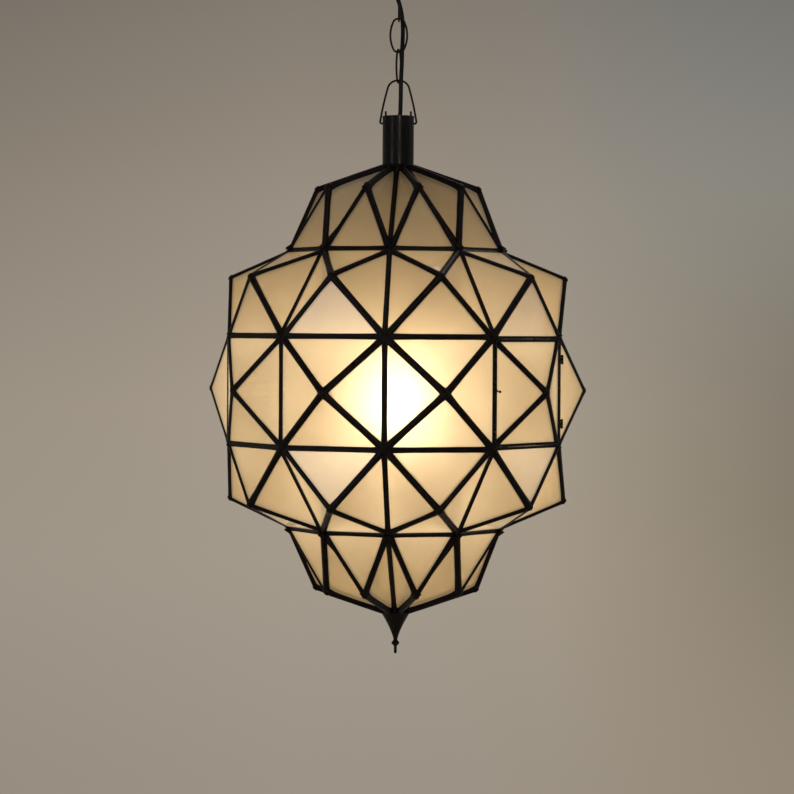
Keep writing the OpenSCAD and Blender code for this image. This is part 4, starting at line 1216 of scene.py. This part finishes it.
# Camera, light and floor
@dataclass
class Studio:
    """Plain soft light, a pale floor, the backdrop colours and the camera."""

    camera_at: Vector = field(default_factory=lambda: Vector((0.0, -2.754, -0.4598)))
    yaw: float = 0.006
    pitch: float = -1.534
    roll: float = 0.323
    sensor: float = 36.0
    focal_share: float = 2536.0 / 794.0
    floor_z: float = -2.5
    floor_r: float = 7.5
    floor_sides: int = 96

    def place_camera(self) -> None:
        """Set the camera at the photograph's viewing angle."""
        data = bpy.data.cameras.new("camera")
        data.sensor_width = self.sensor
        data.lens = self.sensor * self.focal_share
        data.clip_end = 60.0
        camera = bpy.data.objects.new("camera", data)
        bpy.context.scene.collection.objects.link(camera)
        yaw, pitch, roll = (math.radians(a) for a in (self.yaw, self.pitch, self.roll))
        x = Vector((math.cos(yaw), -math.sin(yaw), 0.0))
        ahead = Vector((math.sin(yaw) * math.cos(pitch), math.cos(yaw) * math.cos(pitch), math.sin(pitch)))
        z = Vector((-math.sin(yaw) * math.sin(pitch), -math.cos(yaw) * math.sin(pitch), math.cos(pitch)))
        right = x * math.cos(roll) + z * math.sin(roll)
        up = z * math.cos(roll) - x * math.sin(roll)
        turn = Matrix((right, up, -ahead)).transposed().to_4x4()
        camera.matrix_world = Matrix.Translation(self.camera_at) @ turn
        bpy.context.scene.camera = camera

    def softbox(
        self, name: str, at: Vector, size: tuple[float, float], power: float, colour: Colour,
        spin: float = 0.0
    ) -> None:
        """Add a soft rectangular lamp that faces the middle of the lantern.

        Args:
            name: name of the lamp.
            at: where it stands.
            size: its width and height.
            power: its power in watts.
            colour: its colour.
            spin: its turn about its own axis in degrees.
        """
        data = bpy.data.lights.new(name, "AREA")
        data.shape = "RECTANGLE"
        data.size, data.size_y = size
        data.energy = power
        data.color = colour
        lamp = bpy.data.objects.new(name, data)
        bpy.context.scene.collection.objects.link(lamp)
        back = (at - BODY_CENTRE).to_track_quat("Z", "Y").to_matrix().to_4x4()
        lamp.matrix_world = Matrix.Translation(at) @ back @ Matrix.Rotation(math.radians(spin), 4, "Z")
        lamp.visible_camera = False

    def light(self) -> None:
        """Add the soft lamps round the lantern."""
        self.softbox("left_window", Vector((-2.15, -2.3, -0.6)), (0.8, 1.5), 11.0, (0.85, 0.9, 1.0), 30.0)
        self.softbox("right_window", Vector((2.9, 0.4, -0.1)), (0.4, 1.6), 1.8, (0.5, 0.68, 1.0))
        self.softbox("front_lamp", Vector((0.55, -3.2, 0.15)), (0.5, 0.5), 9.0, (1.0, 0.92, 0.8))
        self.softbox("top_lamp", Vector((0.4, -0.9, 2.2)), (2.4, 2.4), 7.0, (1.0, 0.97, 0.92))
        self.softbox("back_lamp", Vector((1.2, 2.6, 2.0)), (1.8, 1.8), 9.0, (1.0, 0.96, 0.9))

    def backdrop(self) -> None:
        """Give the world its wall colours, with painted light and shade on the wall, for what is seen and a
        plain soft light for the rest.
        """
        world = bpy.data.worlds.new("room")
        bpy.context.scene.world = world
        world.use_nodes = True
        bench = Bench(world.node_tree)
        direction = bench.node("ShaderNodeTexCoord", output="Generated")
        across = bench.part(direction, 0)
        up = bench.part(direction, 2)
        height = bench.slide(up, -0.25, 0.25)
        wall = bench.node("ShaderNodeValToRGB", {"stops": [
            (0.0, (0.3, 0.262, 0.22)), (0.16, (0.318, 0.276, 0.228)), (0.32, (0.35, 0.304, 0.248)),
            (0.44, (0.352, 0.303, 0.245)), (0.6, (0.3, 0.258, 0.21)), (0.76, (0.216, 0.187, 0.155)),
            (1.0, (0.16, 0.14, 0.12))]}, {0: height})
        # painted shade: a painted shadow on the right around mid height, darker toward both sides and, on
        # the left, more so at the top; a faint painted glow round the lantern
        right_wall_shadow = bench.span(up, -0.19, -0.06) * bench.span(up, -0.035, 0.08, 1.0, 0.0)
        right = 1.02 - bench.slide(across, 0.06, 0.155) * (right_wall_shadow * 0.25 + 0.1)
        left_low = bench.span(up, -0.1, 0.1, 0.07, 0.16)
        left = 1.03 - bench.slide(across, -0.04, -0.155) * left_low
        apart = bench.vector("SUBTRACT", direction, (-0.03, 0.0, -0.03))
        flat = bench.length(bench.vector("MULTIPLY", apart, (1.0, 0.0, 1.0)))
        wall_light_and_shade = right * left * bench.span(flat, 0.04, 0.09, 1.02, 1.0)
        cool = bench.mix(bench.span(up, -0.1, 0.12), (1.0, 0.98, 0.9), (0.9, 1.02, 1.12))
        tint = bench.mix(bench.span(across, 0.0, 0.14), (1.0, 1.0, 1.0), cool)
        toned = bench.vector("MULTIPLY", bench.scaled(wall, wall_light_and_shade), tint)
        seen = bench.node("ShaderNodeBackground", {}, {"Color": toned, "Strength": 1.0})
        soft = bench.node("ShaderNodeBackground", {}, {"Color": (0.55, 0.53, 0.5), "Strength": 1.0})
        rays = [bench.node("ShaderNodeLightPath", output=name) for name in
                ("Is Camera Ray", "Is Glossy Ray", "Is Transmission Ray")]
        mask = bench.maths("MINIMUM", rays[0] + rays[1] + rays[2], 1.0)
        shader = bench.node("ShaderNodeMixShader", {}, {0: mask, 1: soft, 2: seen})
        bench.node("ShaderNodeOutputWorld", {}, {"Surface": shader})

    def floor(self) -> None:
        """Lay the pale floor far below, fading out at its edge."""
        plan = MeshPlan()
        radii = (0.001, 1.0, 2.5, 4.5, 6.0, self.floor_r)
        sides = self.floor_sides
        for r in radii:
            plan.points.extend(
                Vector((r * math.sin(t), r * math.cos(t), self.floor_z)) for t in circle(sides))
        for i in range(len(radii) - 1):
            for n in range(sides):
                m = (n + 1) % sides
                low, high = i * sides, (i + 1) * sides
                plan.faces.append((low + m, low + n, high + n, high + m))
        piece = plan.build("floor")
        material, bench = new_surface("floor_paint")
        reach = bench.from_axis()
        paint = bench.mix(bench.grain(0.4, 4.0), (0.36, 0.315, 0.262), (0.38, 0.335, 0.28))
        pale = bench.principled(Base_Color=paint, Roughness=0.8, Specular_IOR_Level=0.15)
        clear = bench.node("ShaderNodeBsdfTransparent")
        edge = bench.span(reach, self.floor_r * 0.5, self.floor_r * 0.97)
        bench.finish_surface(bench.node("ShaderNodeMixShader", {}, {0: edge, 1: pale, 2: clear}))
        piece.data.materials.append(material)

    def build(self) -> None:
        """Set up the light, the backdrop and the floor."""
        self.light()
        self.backdrop()
        self.floor()
        bpy.context.scene.view_settings.view_transform = "Standard"


def main() -> None:
    """Build the studio and the pendant's pieces in order."""
    studio = Studio()
    studio.place_camera()
    paints = Paintbox()
    Cord().build(paints)
    studio.build()
    body = GlassBody()
    body.dress(paints)
    solder = SolderWork(body)
    solder.build(paints)
    Door(solder).build(paints)
    Suspension().build(paints)
    LampFitting().build(paints)


if __name__ == "__main__":
    main()
